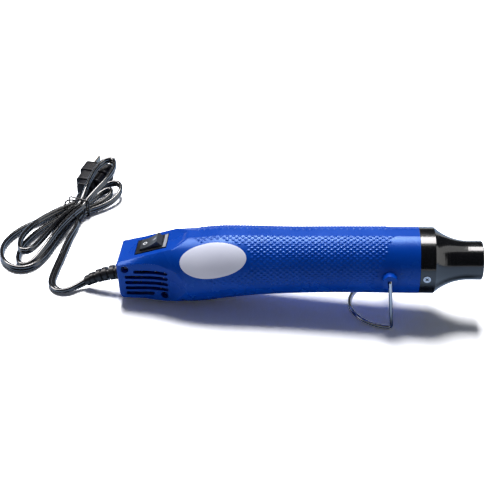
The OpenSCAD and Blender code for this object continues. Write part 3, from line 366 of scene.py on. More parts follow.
LEAD_POINTS = [RELIEF_END, RELIEF_END - 2 * np.array([math.cos(END_PITCH), 0, math.sin(END_PITCH)]),
               (-146, -4.5, 3.2), (-150, -7.5, 2.65), (-154, -8.5, 2.65), (-158.5, -6.5, 2.65),
               (-162, -2, 2.65), (-163.5, 5, 2.65), (-163.5, 15, 2.65), (-163, 28, 2.65), (-162.5, 42, 2.65),
               (-161.5, 56, 2.65), (-160, 68, 3.2), waist_point(-1.5, 0, -12), waist_point(-1.5, 0, -5)]
HANK_POINTS = [bulb_point(b, i) for b in range(BULBS) for i in range(BULB_STEPS)]
HANK_POINTS.append(bulb_point(BULBS - 1, BULB_STEPS))
TAIL_POINTS = [(WAIST[0] - 2.3, WAIST[1] + 5, LAYER_H[1]), (WAIST[0] - 2.4, WAIST[1] + 11, 9.4),
               PLUG_ENTRY - 6 * PLUG_AXIS, PLUG_ENTRY]


def run_along(path):
    """The length of the path up to each of its points."""
    return np.concatenate([[0], np.cumsum(np.linalg.norm(np.diff(path, axis=0), axis=1))])


def even_path(points):
    """The same path in even steps, with its tightest turns eased."""
    p = spline(points, 8)
    run = run_along(p)
    even = np.linspace(0, run[-1], int(run[-1] / PATH_STEP) + 1)
    p = np.stack([np.interp(even, run, p[:, k]) for k in range(3)], 1)
    for _ in range(PATH_PASSES):
        p[1:-1] = (p[:-2] + 2 * p[1:-1] + p[2:]) / 4
    return p


def twin_outline():
    """Two round cores one over the other, with a sharp valley between them."""
    r = CORD_T / 2
    gap = CORD_W / 2 - r
    dip = math.asin(gap / r)
    core = [(r * math.cos(f), gap + r * math.sin(f))
            for f in np.linspace(-dip, math.pi + dip, CORE_SIDES)[:-1]]
    return [(x * MM, y * MM) for x, y in core + [(-x, -y) for x, y in core]]


def lay_cord(path):
    """Lowers the path where the lead lies flat, and gives the thin way of the cord at each of its points."""
    run = run_along(path)
    roll = np.radians(np.interp(run, LEAD_ROLL_AT, LEAD_ROLL))
    flat = np.interp(run, LEAD_ROLL_AT, (0, 1, 1, 0))
    level = np.cross(np.gradient(path, axis=0), UP)
    level /= np.linalg.norm(level, axis=1)[:, None]
    path = path - np.outer(flat * (CORD_R - CORD_T / 2) * (1 - np.cos(roll)), UP)
    return path, np.cos(roll)[:, None] * level + np.sin(roll)[:, None] * UP


def make_cord():
    path, sides = lay_cord(even_path(LEAD_POINTS + HANK_POINTS + TAIL_POINTS))
    verts, faces = tube(path * MM, twin_outline(), sides=sides)
    piece = mesh_piece("cord", verts, faces, RUBBER, sharp=60)
    return fit(piece, "tool", ("cord_lead", "cord_hank")), path * MM


CORD, CORD_PATH = make_cord()

# Twist tie: a rounded loop close round the strands, and its two loose ends
TIE_FLATNESS, TIE_END_R, TIE_CORNER = 0.8, 0.6, 2.2
TIE_SIDE_GAP, TIE_FLOOR_GAP, TIE_TOP_GAP = 0.55, 0.02, 0.8
TIE_HALF_W = 1.5 * STRAND_STEP + CORD_T / 2 + TIE_D / 2 + TIE_SIDE_GAP
TIE_LOW, TIE_TOP = TIE_D / 2 + TIE_FLOOR_GAP, LAYER_H[1] + CORD_R + TIE_D / 2 + TIE_TOP_GAP
TIE_ENDS = {
    "cord_tie_curl": [(-159.0, 82.5, 16.6), (-161, 80.6, 17.2), (-163.3, 80.2, 17.3), (-166.1, 80.7, 17),
                      (-169, 80.9, 16), (-170.7, 81.3, 13.5), (-171.1, 82.5, 10), (-170.4, 85.5, 6)],
    "cord_tie_stub": [(-155.0, 76.0, 13.5), (-155.7, 74.2, 9), (-157.9, 74.2, 5), (-159.3, 74.0, 2),
                      (-160.3, 73.2, 1.2)],
}


def make_tie():
    along = np.array([math.cos(BUNDLE_TURN), math.sin(BUNDLE_TURN), 0])
    across = np.array([-along[1], along[0], 0])
    steps, ring = 8, []
    for q in (3, 2, 1, 0):
        for i in range(steps, -1, -1):
            f = math.radians(90 * q + 90 * i / steps)
            v = (TIE_HALF_W - TIE_CORNER) * (1 if q in (0, 3) else -1) + TIE_CORNER * math.cos(f)
            z = (TIE_TOP - TIE_CORNER if q < 2 else TIE_LOW + TIE_CORNER) + TIE_CORNER * math.sin(f)
            ring.append((*WAIST, 0) + v * across + z * UP)
    outline = [(x * MM, TIE_FLATNESS * y * MM) for x, y in round_outline(TIE_D / 2, 14)]
    verts, faces = tube(np.array(ring) * MM, outline, sides=along, closed=True)
    loop = mesh_piece("cord_tie_loop", verts, faces, BLACK_PLASTIC, sharp=60)
    pieces = [fit(loop, "tool", ("cord_tie",))]
    for name, way in TIE_ENDS.items():
        verts, faces = tube(spline(way, 6) * MM, round_outline(TIE_END_R * MM, 12))
        pieces.append(fit(mesh_piece(name, verts, faces, BLACK_PLASTIC, sharp=60), "tool"))
    return pieces


TIE = make_tie()

# Plug: three stepped grips, with fine ribs on the two large ones
GRIP_W, GRIP_T, GRIP_L = (13, 19, 22.5), (11, 13, 15), (7, 12, 13)
PLUG_EDGE_R, PLUG_CORNER_R = 1.1, 3
RIB_PITCH, RIB_DEPTH, RIB_START, RIB_STEP = 1.5, 0.5, 1.6, 0.1625
RIBBED_FROM = 8


def rounded_box(w, t, r, n=8):
    """A rectangle across the plug with round corners, as (across, up) pairs."""
    out = []
    for q, (sy, sz) in enumerate(((1, 1), (-1, 1), (-1, -1), (1, -1))):
        for k in range(n):
            f = math.pi / 2 * (q + k / (n - 1))
            out.append((sy * (w / 2 - r) + r * math.cos(f), sz * (t / 2 - r) + r * math.sin(f)))
    return out


def plug_inset(s, length):
    """How far the grip's surface lies inside its full size at s along it."""
    edge, r = min(s, length - s), PLUG_EDGE_R
    inset = r - math.sqrt(max(0, r * r - (r - edge) ** 2)) if edge < r else 0
    if length > RIBBED_FROM and edge > RIB_START:
        inset += RIB_DEPTH * (0.5 - 0.5 * math.cos(2 * math.pi * (s - RIB_START) / RIB_PITCH))
    return inset


def make_plug():
    rings, start = [], 0
    for w, t, length in zip(GRIP_W, GRIP_T, GRIP_L):
        places = [np.linspace(0, PLUG_EDGE_R, 6), np.arange(PLUG_EDGE_R, length - PLUG_EDGE_R, RIB_STEP),
                  np.linspace(length - PLUG_EDGE_R, length, 6)]
        for s in sorted(set(np.round(np.concatenate(places), 4))):
            d = plug_inset(s, length)
            rings.append([PLUG_ENTRY + (start + s) * PLUG_AXIS + y * PLUG_SIDE + z * UP
                          for y, z in rounded_box(w - 2 * d, t - 2 * d, PLUG_CORNER_R)])
        start += length
    rows, n = len(rings), len(rings[0])
    piece = mesh_piece("plug_grips", np.array(rings).reshape(-1, 3) * MM,
                       ring_faces(rows, n) + end_faces(rows, n), PLUG_BLACK, sharp=50, closed=True)
    return fit(piece, "tool", ("plug_body",))


PLUG = make_plug()

# Casing: profiles as (x, value) rows, in the tool frame
RADIUS = [(0, 19.4), (12, 20.4), (24, 21.9), (34, 23.1), (46, BELLY_R), (62, BELLY_R), (90, 22.2),
          (115, FRONT_R + 0.1), (145, FRONT_R - 0.1), (HOUSING_LEN, FRONT_R)]
DEPTH = [(0, TAIL_DEPTH), (12, TAIL_DEPTH), (22, TAIL_DEPTH + 0.8), (34, BELLY_DEPTH - 0.7),
         (42, BELLY_DEPTH), (54, BELLY_DEPTH - 0.5), (70, 25.6), (90, 23.3), (118, 21.7),
         (145, FRONT_R - 0.1), (HOUSING_LEN, FRONT_R)]
HOOD_WIDTH = [(0, 14.6), (10, 15.2), (20, 15.8), (28, 17.2), (34.5, 19.4), (41, 21.7), (46.5, 23.6), (52, 24),
              (60, 25), (HOUSING_LEN, 25)]
HOOD_HEIGHT = [(0, 4.1), (10, 5.7), (20, 6.6), (28, 6.5), (34.5, 4.9), (41, 2.6), (46.5, -3.2), (54, -2.8),
               (90, 0.2), (HOUSING_LEN, 1.5)]
WALL_FOOT = [(0, -23.2), (30, -23), (36, -21.2), (41.4, -17.2), (46.5, -9.5), (54, -8.6), (90, -6.2),
             (HOUSING_LEN, -5.2)]
# Steps of the mesh round the underside, up the vent wall and over the hood, and its rows across the top
BOTTOM_STEPS, WALL_STEPS, HOOD_STEPS = 22, 18, 18
TOP_YS = (11.2, 10.4, 9.6, 8.8, 8.0, 7.2, 6.4, 5.6, 4.8, 4.0, 3.75, 2.0, 0.0)
# How far each edge of a section moves in for a millimetre of wall
FOOT_IN, HOOD_IN, HOOD_DOWN, CREASE_IN, TOP_DOWN = 0.8, 1.15, 0.3, 0.8, 1.05
HOOD_UNDER_DECK, LEDGE_H, MIDDLE_GAP = 0.5, 1.6, 0.01
# The rows that lean with the deck's slanted end: where the lean starts and fades, and over what length
LEAN_START, LEAN_IN, LEAN_END, LEAN_OUT = 24, 8, 62, 16


def follow(x, table):
    """The value at x on a smooth line through the table's rows."""
    xs, ys = np.array(table, float).T
    i = np.clip(np.searchsorted(xs, x, side="right") - 1, 0, len(xs) - 2)
    rate = np.zeros(len(xs))
    rate[1:-1] = (ys[2:] - ys[:-2]) / (xs[2:] - xs[:-2])
    h = xs[i + 1] - xs[i]
    u = (x - xs[i]) / h
    return (ys[i] + (ys[i + 1] - ys[i]) * u * u * (3 - 2 * u)
            + h * u * (1 - u) * (rate[i] * (1 - u) - rate[i + 1] * u))


def rounding(x, r):
    """How far a rounded end of radius r draws in at x from it."""
    return np.where(x >= r, 0, r - np.sqrt(np.maximum(0, r * r - (r - np.minimum(x, r)) ** 2)))


def body_r(x):
    return follow(x, RADIUS)


def centre_z(x):
    return body_r(x) - follow(x, DEPTH)


def deck_z(x):
    return DECK_BACK_H + math.tan(math.radians(DECK_SLOPE)) * x


def half_width(x, z, d, more=0.0):
    """Half the body's width at x and z, d inside its surface."""
    return np.sqrt(np.maximum(1, (body_r(x) + more - d) ** 2 - (z - centre_z(x)) ** 2))


def wall_y(x, z, d):
    """The vent wall: it sweeps out and then flares, within a body a little fuller than its round."""
    sweep_x = np.minimum(x, FLARE_X)
    sweep = SWEEP_R - np.sqrt(SWEEP_R ** 2 - np.maximum(0, sweep_x - SWEEP_START) ** 2)
    flare = np.maximum(0, x - FLARE_X) * math.tan(math.radians(FLARE_ANGLE))
    fuller = WALL_FULLER * np.clip((FULLER_END - x) / FULLER_FADE, 0, 1)
    return np.minimum(VENT_WALL_Y + sweep + flare - d, half_width(x, z, d, fuller))


def deck_end(y):
    return DECK_END_SIDE + (DECK_W / 2 - y) * (DECK_END_SPINE - DECK_END_SIDE) / ((DECK_W - SPINE_W) / 2)


def top_z(x, y):
    """The top surface: the flat deck, then a soft rise to the dome with its flat spine."""
    y = max(y, SPINE_W / 2)
    dome = centre_z(x) + np.sqrt(body_r(x) ** 2 - y * y)
    deck = np.minimum(deck_z(x), dome)
    return deck + (dome - deck) * ease((x - deck_end(y)) / DECK_RISE)


def polar_mix(a, b, c, u):
    """Between two (y, z) places, turning round (0, c)."""
    ra, rb = np.hypot(a[0], a[1] - c), np.hypot(b[0], b[1] - c)
    fa, fb = np.arctan2(a[1] - c, a[0]), np.arctan2(b[1] - c, b[0])
    r, f = ra + (rb - ra) * u, fa + (fb - fa) * u
    return r * np.cos(f), c + r * np.sin(f)


def half_section(x, d):
    """One side of the cross-sections at all x, from the underside to the top, as rows of (x, y, z)."""
    c = centre_z(x)
    foot_z = follow(x, WALL_FOOT) + rounding(x, TAIL_ROUND) + FOOT_IN * d
    foot = (wall_y(x, foot_z, d), foot_z)
    hood_z = np.minimum(follow(x, HOOD_HEIGHT), deck_z(x) - HOOD_UNDER_DECK) - HOOD_DOWN * d
    hood = (np.minimum(follow(x, HOOD_WIDTH) - HOOD_IN * d, half_width(x, hood_z, d)), hood_z)
    ledge_z = hood_z - LEDGE_H
    under = (np.full_like(x, MIDDLE_GAP), rounding(x, TAIL_ROUND) - follow(x, DEPTH) + d)
    edge_y = DECK_W / 2
    crease = (edge_y - CREASE_IN * d, top_z(x, edge_y) - TOP_DOWN * d)
    rows = []
    for i in range(BOTTOM_STEPS):
        y, z = polar_mix(under, foot, c, i / BOTTOM_STEPS)
        rows.append((x, y if i else 0.0, z))
    for i in range(WALL_STEPS + 1):
        z = foot_z + (ledge_z - foot_z) * i / WALL_STEPS
        rows.append((x, wall_y(x, z, d), z))
    for i in range(HOOD_STEPS + 1):
        y, z = polar_mix(hood, crease, c, i / HOOD_STEPS)
        rows.append((x, y, z))
    lean = ease(np.minimum((x - LEAN_START) / LEAN_IN, (LEAN_END - x) / LEAN_OUT))
    for y in TOP_YS:
        xs = x + lean * (deck_end(max(y, SPINE_W / 2)) - DECK_END_SIDE)
        rows.append((xs, y - CREASE_IN * d * y / edge_y, top_z(xs, y) - TOP_DOWN * d))
    return [np.stack(np.broadcast_arrays(*row), 1) for row in rows]


# The sections' places: close together round the back edge and at the deck's end
STATIONS = np.concatenate([
    [0, 0.1, 0.25, 0.45, 0.7, 0.95, 1.2, 1.7, WALL, 3.0, 3.75, TAIL_ROUND],
    np.linspace(TAIL_ROUND, FLARE_X, 30)[1:], np.linspace(FLARE_X, 36.4, 6)[1:], [36.55, 36.65],
    np.linspace(36.65, 50, 27)[1:], np.linspace(50, HOUSING_LEN, 66)[1:]])
BACK_WALL_ROW = int(np.argmin(abs(STATIONS - WALL)))


def casing_half():
    """The left shell of the casing as one closed surface, in the tool frame."""
    outer = np.stack(half_section(STATIONS, rounding(STATIONS, BACK_EDGE_R)), 1)
    lined = STATIONS[BACK_WALL_ROW:]
    inner = np.stack(half_section(lined, np.full_like(lined, WALL)), 1)
    m, n, _ = outer.shape
    k = len(lined)
    hubs = [(x, 0, float(centre_z(np.array([x]))[0])) for x in (0, WALL)]
    verts = np.vstack([outer.reshape(-1, 3), inner.reshape(-1, 3), hubs])
    hub = m * n + k * n

    def o(i, j):
        return i * n + j

    def q(i, j):
        return m * n + i * n + j

    faces = [(o(i, j), o(i, j + 1), o(i + 1, j + 1), o(i + 1, j))
             for i in range(m - 1) for j in range(n - 1)]
    faces += [(q(i, j), q(i + 1, j), q(i + 1, j + 1), q(i, j + 1))
              for i in range(k - 1) for j in range(n - 1)]
    faces += [(hub, o(0, j + 1), o(0, j)) for j in range(n - 1)]
    faces += [(hub + 1, q(0, j), q(0, j + 1)) for j in range(n - 1)]
    faces += [(o(m - 1, j), o(m - 1, j + 1), q(k - 1, j + 1), q(k - 1, j)) for j in range(n - 1)]
    for j, turn in ((0, 1), (n - 1, -1)):
        faces += [(o(BACK_WALL_ROW + i, j), o(BACK_WALL_ROW + i + 1, j), q(i + 1, j), q(i, j))[::turn]
                  for i in range(k - 1)]
    back_rows = range(BACK_WALL_ROW + 1)
    faces.append((hub, *(o(i, 0) for i in back_rows), q(0, 0), hub + 1, q(0, n - 1),
                  *(o(i, n - 1) for i in reversed(back_rows))))
    return verts * [1, -1, 1], [f[::-1] for f in faces]


def outward(verts, faces):
    """A temporary object in the tool frame whose faces point out."""
    mesh = bpy.data.meshes.new("tool_shape")
    mesh.from_pydata([tuple(v) for v in verts], [], faces)
    face_out(mesh)
    mesh.materials.append(BLUE)
    return link("tool_shape", mesh)


def between(first, last):
    """A temporary solid between two outlines of as many places."""
    n = len(first)
    faces = [tuple(range(n)), tuple(range(2 * n - 1, n - 1, -1))]
    faces += [(i, n + i, n + (i + 1) % n, (i + 1) % n) for i in range(n)]
    return outward(first + last, faces)


def prism(outline, y0, y1):
    """A straight prism along y on an outline of (x, z) places."""
    return between([(x, y0, z) for x, z in outline], [(x, y1, z) for x, z in outline])


def bar(x, z, y0, y1, r, n=32):
    """A round bar along y."""
    return prism([(x + a, z + b) for a, b in round_outline(r, n)], y0, y1)


def stadium(x0, x1, z, h, n=14):
    """The outline of a slot with round ends."""
    r = h / 2
    return [(x + r * math.cos(a), z + r * math.sin(a))
            for x, start in ((x1 - r, -math.pi / 2), (x0 + r, math.pi / 2))
            for a in np.linspace(start, start + math.pi, n)]


def on_deck(u, v, w):
    """A place in the switch deck's own frame: along it, across it and over it."""
    a = math.radians(DECK_SLOPE)
    return (SWITCH_X + u * math.cos(a) - w * math.sin(a), v,
            float(deck_z(SWITCH_X)) + u * math.sin(a) + w * math.cos(a))


def deck_box(u0, u1, v0, v1, w0, w1):
    """A temporary box in the switch deck's own frame."""
    verts = [on_deck(u, v, w) for u in (u0, u1) for v in (v0, v1) for w in (w0, w1)]
    return outward(verts, [(0, 1, 3, 2), (4, 6, 7, 5), (0, 4, 5, 1), (2, 3, 7, 6), (0, 2, 6, 4),
                           (1, 5, 7, 3)])


# What is on the shells and cut through them; each _CUT is the reach of a cut along its own axis
SCREW_AT = ((5.4, 0.4), (30, -18.4))
SCREW_BOSS_R, SCREW_BOSS_FACE, SHELL_GAP = 3.7, 12.4, 0.02
SCREW_BORE_R, SCREW_BORE_CUT = 2.6, (-30, -9)
STAND_BOSS_FACE, STAND_BOSS_ROOT = 25.25, 15.5
SLOT_BACKS, SLOT_FRONT, LAST_SLOT_FRONT = (10.8, 4.6, 4.6, 4.6, 4.6), 33.2, 23.4
SLOT_CUT = (-22, -10.3)
SEAT_GAP, SEAT_GAP_FRONT, SEAT_CUT = 0.7, 0.15, (BEZEL_PROUD - 1.8, 8)
SWITCH_HOLE_L, SWITCH_HOLE_W, SWITCH_HOLE_CUT = 19.5, 13.1, (-8, 4)
CORD_HOLE_R, CORD_HOLE_CUT = 3.95, (-1, 4)
WIRE_SEAT_GAP, WIRE_SEAT_CUT = 0.06, (-STAND_BOSS_FACE - 1, -STAND_BOSS_ROOT + 0.2)
WIRE_MOUTH_GAP, WIRE_MOUTH_DEPTH = 0.5, 0.6
LEG_SLOT_GAP, LEG_SLOT_SIDE_GAP, LEG_SLOT_DEPTH = 0.2, 0.25, 6


def casing_bosses():
    boss = bar(PIVOT_X, 0, -STAND_BOSS_FACE, -STAND_BOSS_ROOT, BOSS_D / 2, 48)
    return [boss] + [bar(x, z, -SCREW_BOSS_FACE, -SHELL_GAP, SCREW_BOSS_R) for x, z in SCREW_AT]


def casing_cuts(side):
    """Vent slots, switch seat and hole, cord hole, the stand's seat and, on the left, the screw bores."""
    fronts = [SLOT_FRONT] * (SLOT_COUNT - 1) + [LAST_SLOT_FRONT]
    cuts = [prism(stadium(back, front, SLOT_TOP_Z - i * SLOT_PITCH, SLOT_H), *SLOT_CUT)
            for i, (back, front) in enumerate(zip(SLOT_BACKS, fronts))]
    seat_w = BEZEL_W / 2 + SEAT_GAP
    cuts.append(deck_box(-BEZEL_L / 2 - SEAT_GAP, BEZEL_L / 2 + SEAT_GAP_FRONT, -seat_w, seat_w, *SEAT_CUT))
    cuts.append(deck_box(-SWITCH_HOLE_L / 2, SWITCH_HOLE_L / 2, -SWITCH_HOLE_W / 2, SWITCH_HOLE_W / 2,
                         *SWITCH_HOLE_CUT))
    hole = [(y, CORD_Z + z) for y, z in round_outline(CORD_HOLE_R, 40)]
    cuts.append(between(*([(x, y, z) for y, z in hole] for x in CORD_HOLE_CUT)))
    floor_y = LEG_Y - WIRE_R - LEG_SLOT_SIDE_GAP
    cuts.append(bar(PIVOT_X, 0, *WIRE_SEAT_CUT, WIRE_R + WIRE_SEAT_GAP, 24))
    cuts.append(bar(PIVOT_X, 0, WIRE_SEAT_CUT[0], -floor_y + WIRE_MOUTH_DEPTH, WIRE_R + WIRE_MOUTH_GAP))
    c, reach, lean = WIRE_R + LEG_SLOT_GAP, BOSS_D, math.radians(LEG_LEAN)
    leg_slot = [(-c, c), (-c + reach * math.sin(lean), c - reach * math.cos(lean)),
                (reach, -reach), (reach, c)]
    cuts.append(prism([(PIVOT_X + x, z) for x, z in leg_slot], -floor_y - LEG_SLOT_DEPTH, -floor_y))
    if side == "left":
        cuts += [bar(x, z, *SCREW_BORE_CUT, SCREW_BORE_R) for x, z in SCREW_AT]
    return cuts


def make_casing(side):
    shell = outward(*casing_half())
    carve(shell, casing_bosses(), "UNION")
    carve(shell, casing_cuts(side), "DIFFERENCE")
    places = np.array([v.co for v in shell.data.vertices])
    if side == "right":
        places[:, 1] *= -1
        shell.data.flip_normals()
    shell.data.vertices.foreach_set("co", to_rest(places).astype(np.float32).ravel())
    shell.name = shell.data.name = "casing_" + side
    shade(shell, 34)
    return fit(shell, "tool", ("housing_" + side,))


for casing_side in ("left", "right"):
    make_casing(casing_side)


def on_body(x, angle, up):
    """A place over the body's round, at an angle in radians over the horizontal on the left."""
    r = body_r(x) + up
    return np.stack([x, -r * np.cos(angle), centre_z(x) + r * np.sin(angle)], -1)


# Label: bare, bent round the belly
LABEL_X, LABEL_L, LABEL_TURN, LABEL_MID = 63.2, 42.0, 28.0, 38.0
LABEL_TOP, LABEL_FOOT, LABEL_EDGE = 0.42, 0.12, 0.08
LABEL_RINGS, LABEL_SIDES = 20, 96


def label_ring(u, up):
    f = 2 * math.pi * np.arange(LABEL_SIDES) / LABEL_SIDES
    return on_body(LABEL_X + u * LABEL_L / 2 * np.cos(f),
                   np.radians(LABEL_MID + u * LABEL_TURN * np.sin(f)), up)


def make_label():
    rings = [label_ring(i / LABEL_RINGS, LABEL_TOP) for i in range(1, LABEL_RINGS)]
    rings += [label_ring(1, LABEL_TOP - LABEL_EDGE), label_ring(1, LABEL_FOOT)]
    faces = ring_faces(len(rings), LABEL_SIDES) + end_faces(len(rings), LABEL_SIDES)
    piece = mesh_piece("label", to_rest(np.concatenate(rings)), faces, LABEL, sharp=50, closed=True)
    return fit(piece, "tool", ("rating_label",))


make_label()

# Grip: raised diamonds on both sides, in columns along the body and rows round it in degrees
GRIP_COLUMN, GRIP_ROW, GRIP_COLUMNS, GRIP_ROWS = 3.98, 3.9, range(12, 46), range(-5, 21)
GRIP_H, GRIP_SINK, GRIP_CURVE, GRIP_FILL, GRIP_FACETS = 0.42, 0.06, 1.35, 0.985, 8
# The covered area: (angle, x) of its front and rear, (x, angle) of its lower edge, and its top
GRIP_FRONT = ((-26, 160.5), (-6, 164.2), (25, 167.8), (73, 175.3))
GRIP_REAR = ((0, 58), (77, 51.5))
GRIP_LOW = ((58, 6), (64, -3), (80, -9), (118, -14), (164, -9))
GRIP_TOP = 78.5
LABEL_MARGIN_X, LABEL_MARGIN_TURN = 2.9, 5.5


def grip_holds(x, a, side):
    """Whether the grip covers the place at x and at a degrees over the horizontal."""
    front, rear, low = (np.interp(at, *zip(*line))
                        for at, line in ((a, GRIP_FRONT), (a, GRIP_REAR), (x, GRIP_LOW)))
    if not (rear < x < front and low < a < GRIP_TOP):
        return False
    u = (x - LABEL_X) / (LABEL_L / 2 + LABEL_MARGIN_X)
    v = (a - LABEL_MID) / (LABEL_TURN + LABEL_MARGIN_TURN)
    return side == "right" or u * u + v * v > 1


def diamond(x, a):
    """The places of one raised diamond, in rows."""
    p, q = np.meshgrid(*[np.linspace(-1, 1, GRIP_FACETS + 1)] * 2, indexing="ij")
    up = GRIP_H * (1 - abs(p) ** GRIP_CURVE) * (1 - abs(q) ** GRIP_CURVE) - GRIP_SINK
    return on_body(x + (p + q) / 2 * GRIP_COLUMN / 2 * GRIP_FILL,
                   np.radians(a + (p - q) / 2 * GRIP_ROW * GRIP_FILL), up).reshape(-1, 3)


def make_grip(side):
    centres = [((col + row % 2 / 2) * GRIP_COLUMN, row * GRIP_ROW)
               for row in GRIP_ROWS for col in GRIP_COLUMNS]
    verts = np.concatenate([diamond(x, a) for x, a in centres if grip_holds(x, a, side)])
    n = GRIP_FACETS + 1
    faces = [(base + i * n + j, base + i * n + j + 1, base + (i + 1) * n + j + 1, base + (i + 1) * n + j)
             for base in range(0, len(verts), n * n) for i in range(n - 1) for j in range(n - 1)]
    if side == "right":
        verts[:, 1] *= -1
        faces = [f[::-1] for f in faces]
    return fit(mesh_piece("grip_" + side, to_rest(verts), faces, BLUE, sharp=50), "tool")


for grip_side in ("left", "right"):
    make_grip(grip_side)

# Switch: two plain signs on the rocker, and a grey strip on the front of its frame that is a painted
# reflection of the light on the frame's sloped front
ROCKER_TIP_L, ROCKER_TIP_H, ROCKER_SAG, ROCKER_DROP, ROCKER_TILT = 6.37, 4.47, 0.9, 1.6, math.radians(12)
SIGN_UP, SIGN_SUNK, STRIP_UP, STRIP_SUNK = 0.03, 0.04, 0.04, 0.02
OFF_X, OFF_BORE_R, OFF_R, OFF_SIDES = -3.5, 0.85, 1.5, 40
ON_X, ON_Y = (2.4, 5.1), (-0.34, 0.34)
STRIP_X, STRIP_Y = (8.15, 10.35), (-7.15, 7.3)
PLATE_STEPS = 6


def on_rocker(x, y, up):
    """A place over the rocker's hollow top face."""
    h = ROCKER_TIP_H - ROCKER_SAG * (1 - (x / ROCKER_TIP_L) ** 2) + up
    c, s = math.cos(ROCKER_TILT), math.sin(ROCKER_TILT)
    return on_deck(x * c - h * s, y, x * s + h * c + BEZEL_PROUD - ROCKER_DROP)


def make_off_sign():
    section = ((OFF_BORE_R, SIGN_UP), (OFF_R, SIGN_UP), (OFF_R, -SIGN_SUNK), (OFF_BORE_R, -SIGN_SUNK))
    verts = [on_rocker(OFF_X + r * math.cos(f), r * math.sin(f), up)
             for f in 2 * math.pi * np.arange(OFF_SIDES) / OFF_SIDES for r, up in section]
    faces = ring_faces(OFF_SIDES, len(section), closed=True)
    return fit(mesh_piece("sign_off", to_rest(verts), faces, SIGN, sharp=40, closed=True), "rocker")


def make_plate(name, body, finish, place, xs, ys, ups):
    """A thin plate that follows the surface under it."""
    n = PLATE_STEPS + 1
    verts = [place(x, y, up) for up in ups for x in np.linspace(*xs, n) for y in ys]
    faces = [(2 * i + k, 2 * i + 1 + k, 2 * i + 3 + k, 2 * i + 2 + k)
             for k in (0, 2 * n) for i in range(n - 1)]
    rim = [2 * i for i in range(n)] + [2 * i + 1 for i in reversed(range(n))]
    faces += [(a, b, b + 2 * n, a + 2 * n) for a, b in zip(rim, rim[1:] + rim[:1])]
    return fit(mesh_piece(name, to_rest(verts), faces, finish, sharp=40, closed=True), body)


make_off_sign()
make_plate("sign_on", "rocker", SIGN, on_rocker, ON_X, ON_Y, (-SIGN_SUNK, SIGN_UP))
# The grey strip is a painted reflection on the front of the switch frame
make_plate("switch_painted_reflection", "tool", PAINTED_REFLECTION_GREY, on_deck, STRIP_X, STRIP_Y,
           (BEZEL_PROUD - STRIP_SUNK, BEZEL_PROUD + STRIP_UP))

# Screws of the nozzle cover: black boxes in their cross slots, painted shade for the slots' depths
COVER_SCREW_X = HOUSING_LEN + 4.2
CROSS_L, CROSS_W, CROSS_TOP, CROSS_DEPTH = 2.6, 0.6, FRONT_R + 0.16, 0.4
BOX_FACES = ((0, 1, 2, 3), (4, 5, 6, 7), (0, 1, 5, 4), (1, 2, 6, 5), (2, 3, 7, 6), (3, 0, 4, 7))


# Black plastic boxes in the steel screws' slots: painted shade, not a part of the screws
def make_painted_slot_shade():
    verts, faces = [], []
    corners = [(a * CROSS_L / 2, b * CROSS_W / 2) for a, b in ((-1, -1), (1, -1), (1, 1), (-1, 1))]
    for side in (-1, 1):
        for turn in (45, 135):
            c, s = math.cos(math.radians(turn)), math.sin(math.radians(turn))
            faces += [tuple(len(verts) + i for i in f) for f in BOX_FACES]
            verts += [(COVER_SCREW_X + a * c - b * s, side * y, a * s + b * c)
                      for y in (CROSS_TOP, CROSS_TOP - CROSS_DEPTH) for a, b in corners]
    return fit(mesh_piece("screw_slot_painted_shade", to_rest(verts), faces, BLACK_PLASTIC, closed=True), "tool")


make_painted_slot_shade()

# Floor, world, cards and lamps, in metres
FLOOR_SIZE, FLOOR_DROP = 6.0, 0.0002
FLOOR_COLOUR, FLOOR_IN_GLOSS, FLOOR_SEEN = (0.82, 0.82, 0.84, 1), (0.32, 0.42, 0.58, 1), (1.62, 1.62, 1.66, 1)
# The seen floor glows from little near the object to the full white of the background
GLOW_NEAR, GLOW_FAR, GLOW_LEAST = 0.22, 0.55, 0.02
STUDIO_DIM = (0.8, 0.87, 1, 1)
# Each card lies on a cylinder round the x axis, between two angles counted from the front over the top
CARD_R, CARD_HALF, CARD_STEPS, SOFT_BOX_END = 2.6, 5.0, 16, 0.5
LAMP_SIDE, LAMP_TARGET = 0.8, (0, 0, 0.02)


def colour_mix(nodes, links, factor, first, second):
    """A node that mixes two colours; first may be a node."""
    made = nodes.new("ShaderNodeMix")
    made.data_type = "RGBA"
    links.new(factor, made.inputs["Factor"])
    if isinstance(first, tuple):
        made.inputs["A"].default_value = first
    else:
        links.new(first.outputs["Result"], made.inputs["A"])
    made.inputs["B"].default_value = second
    return made


def empty_tree(holder):
    holder.use_nodes = True
    holder.node_tree.nodes.clear()
    return holder.node_tree.nodes, holder.node_tree.links


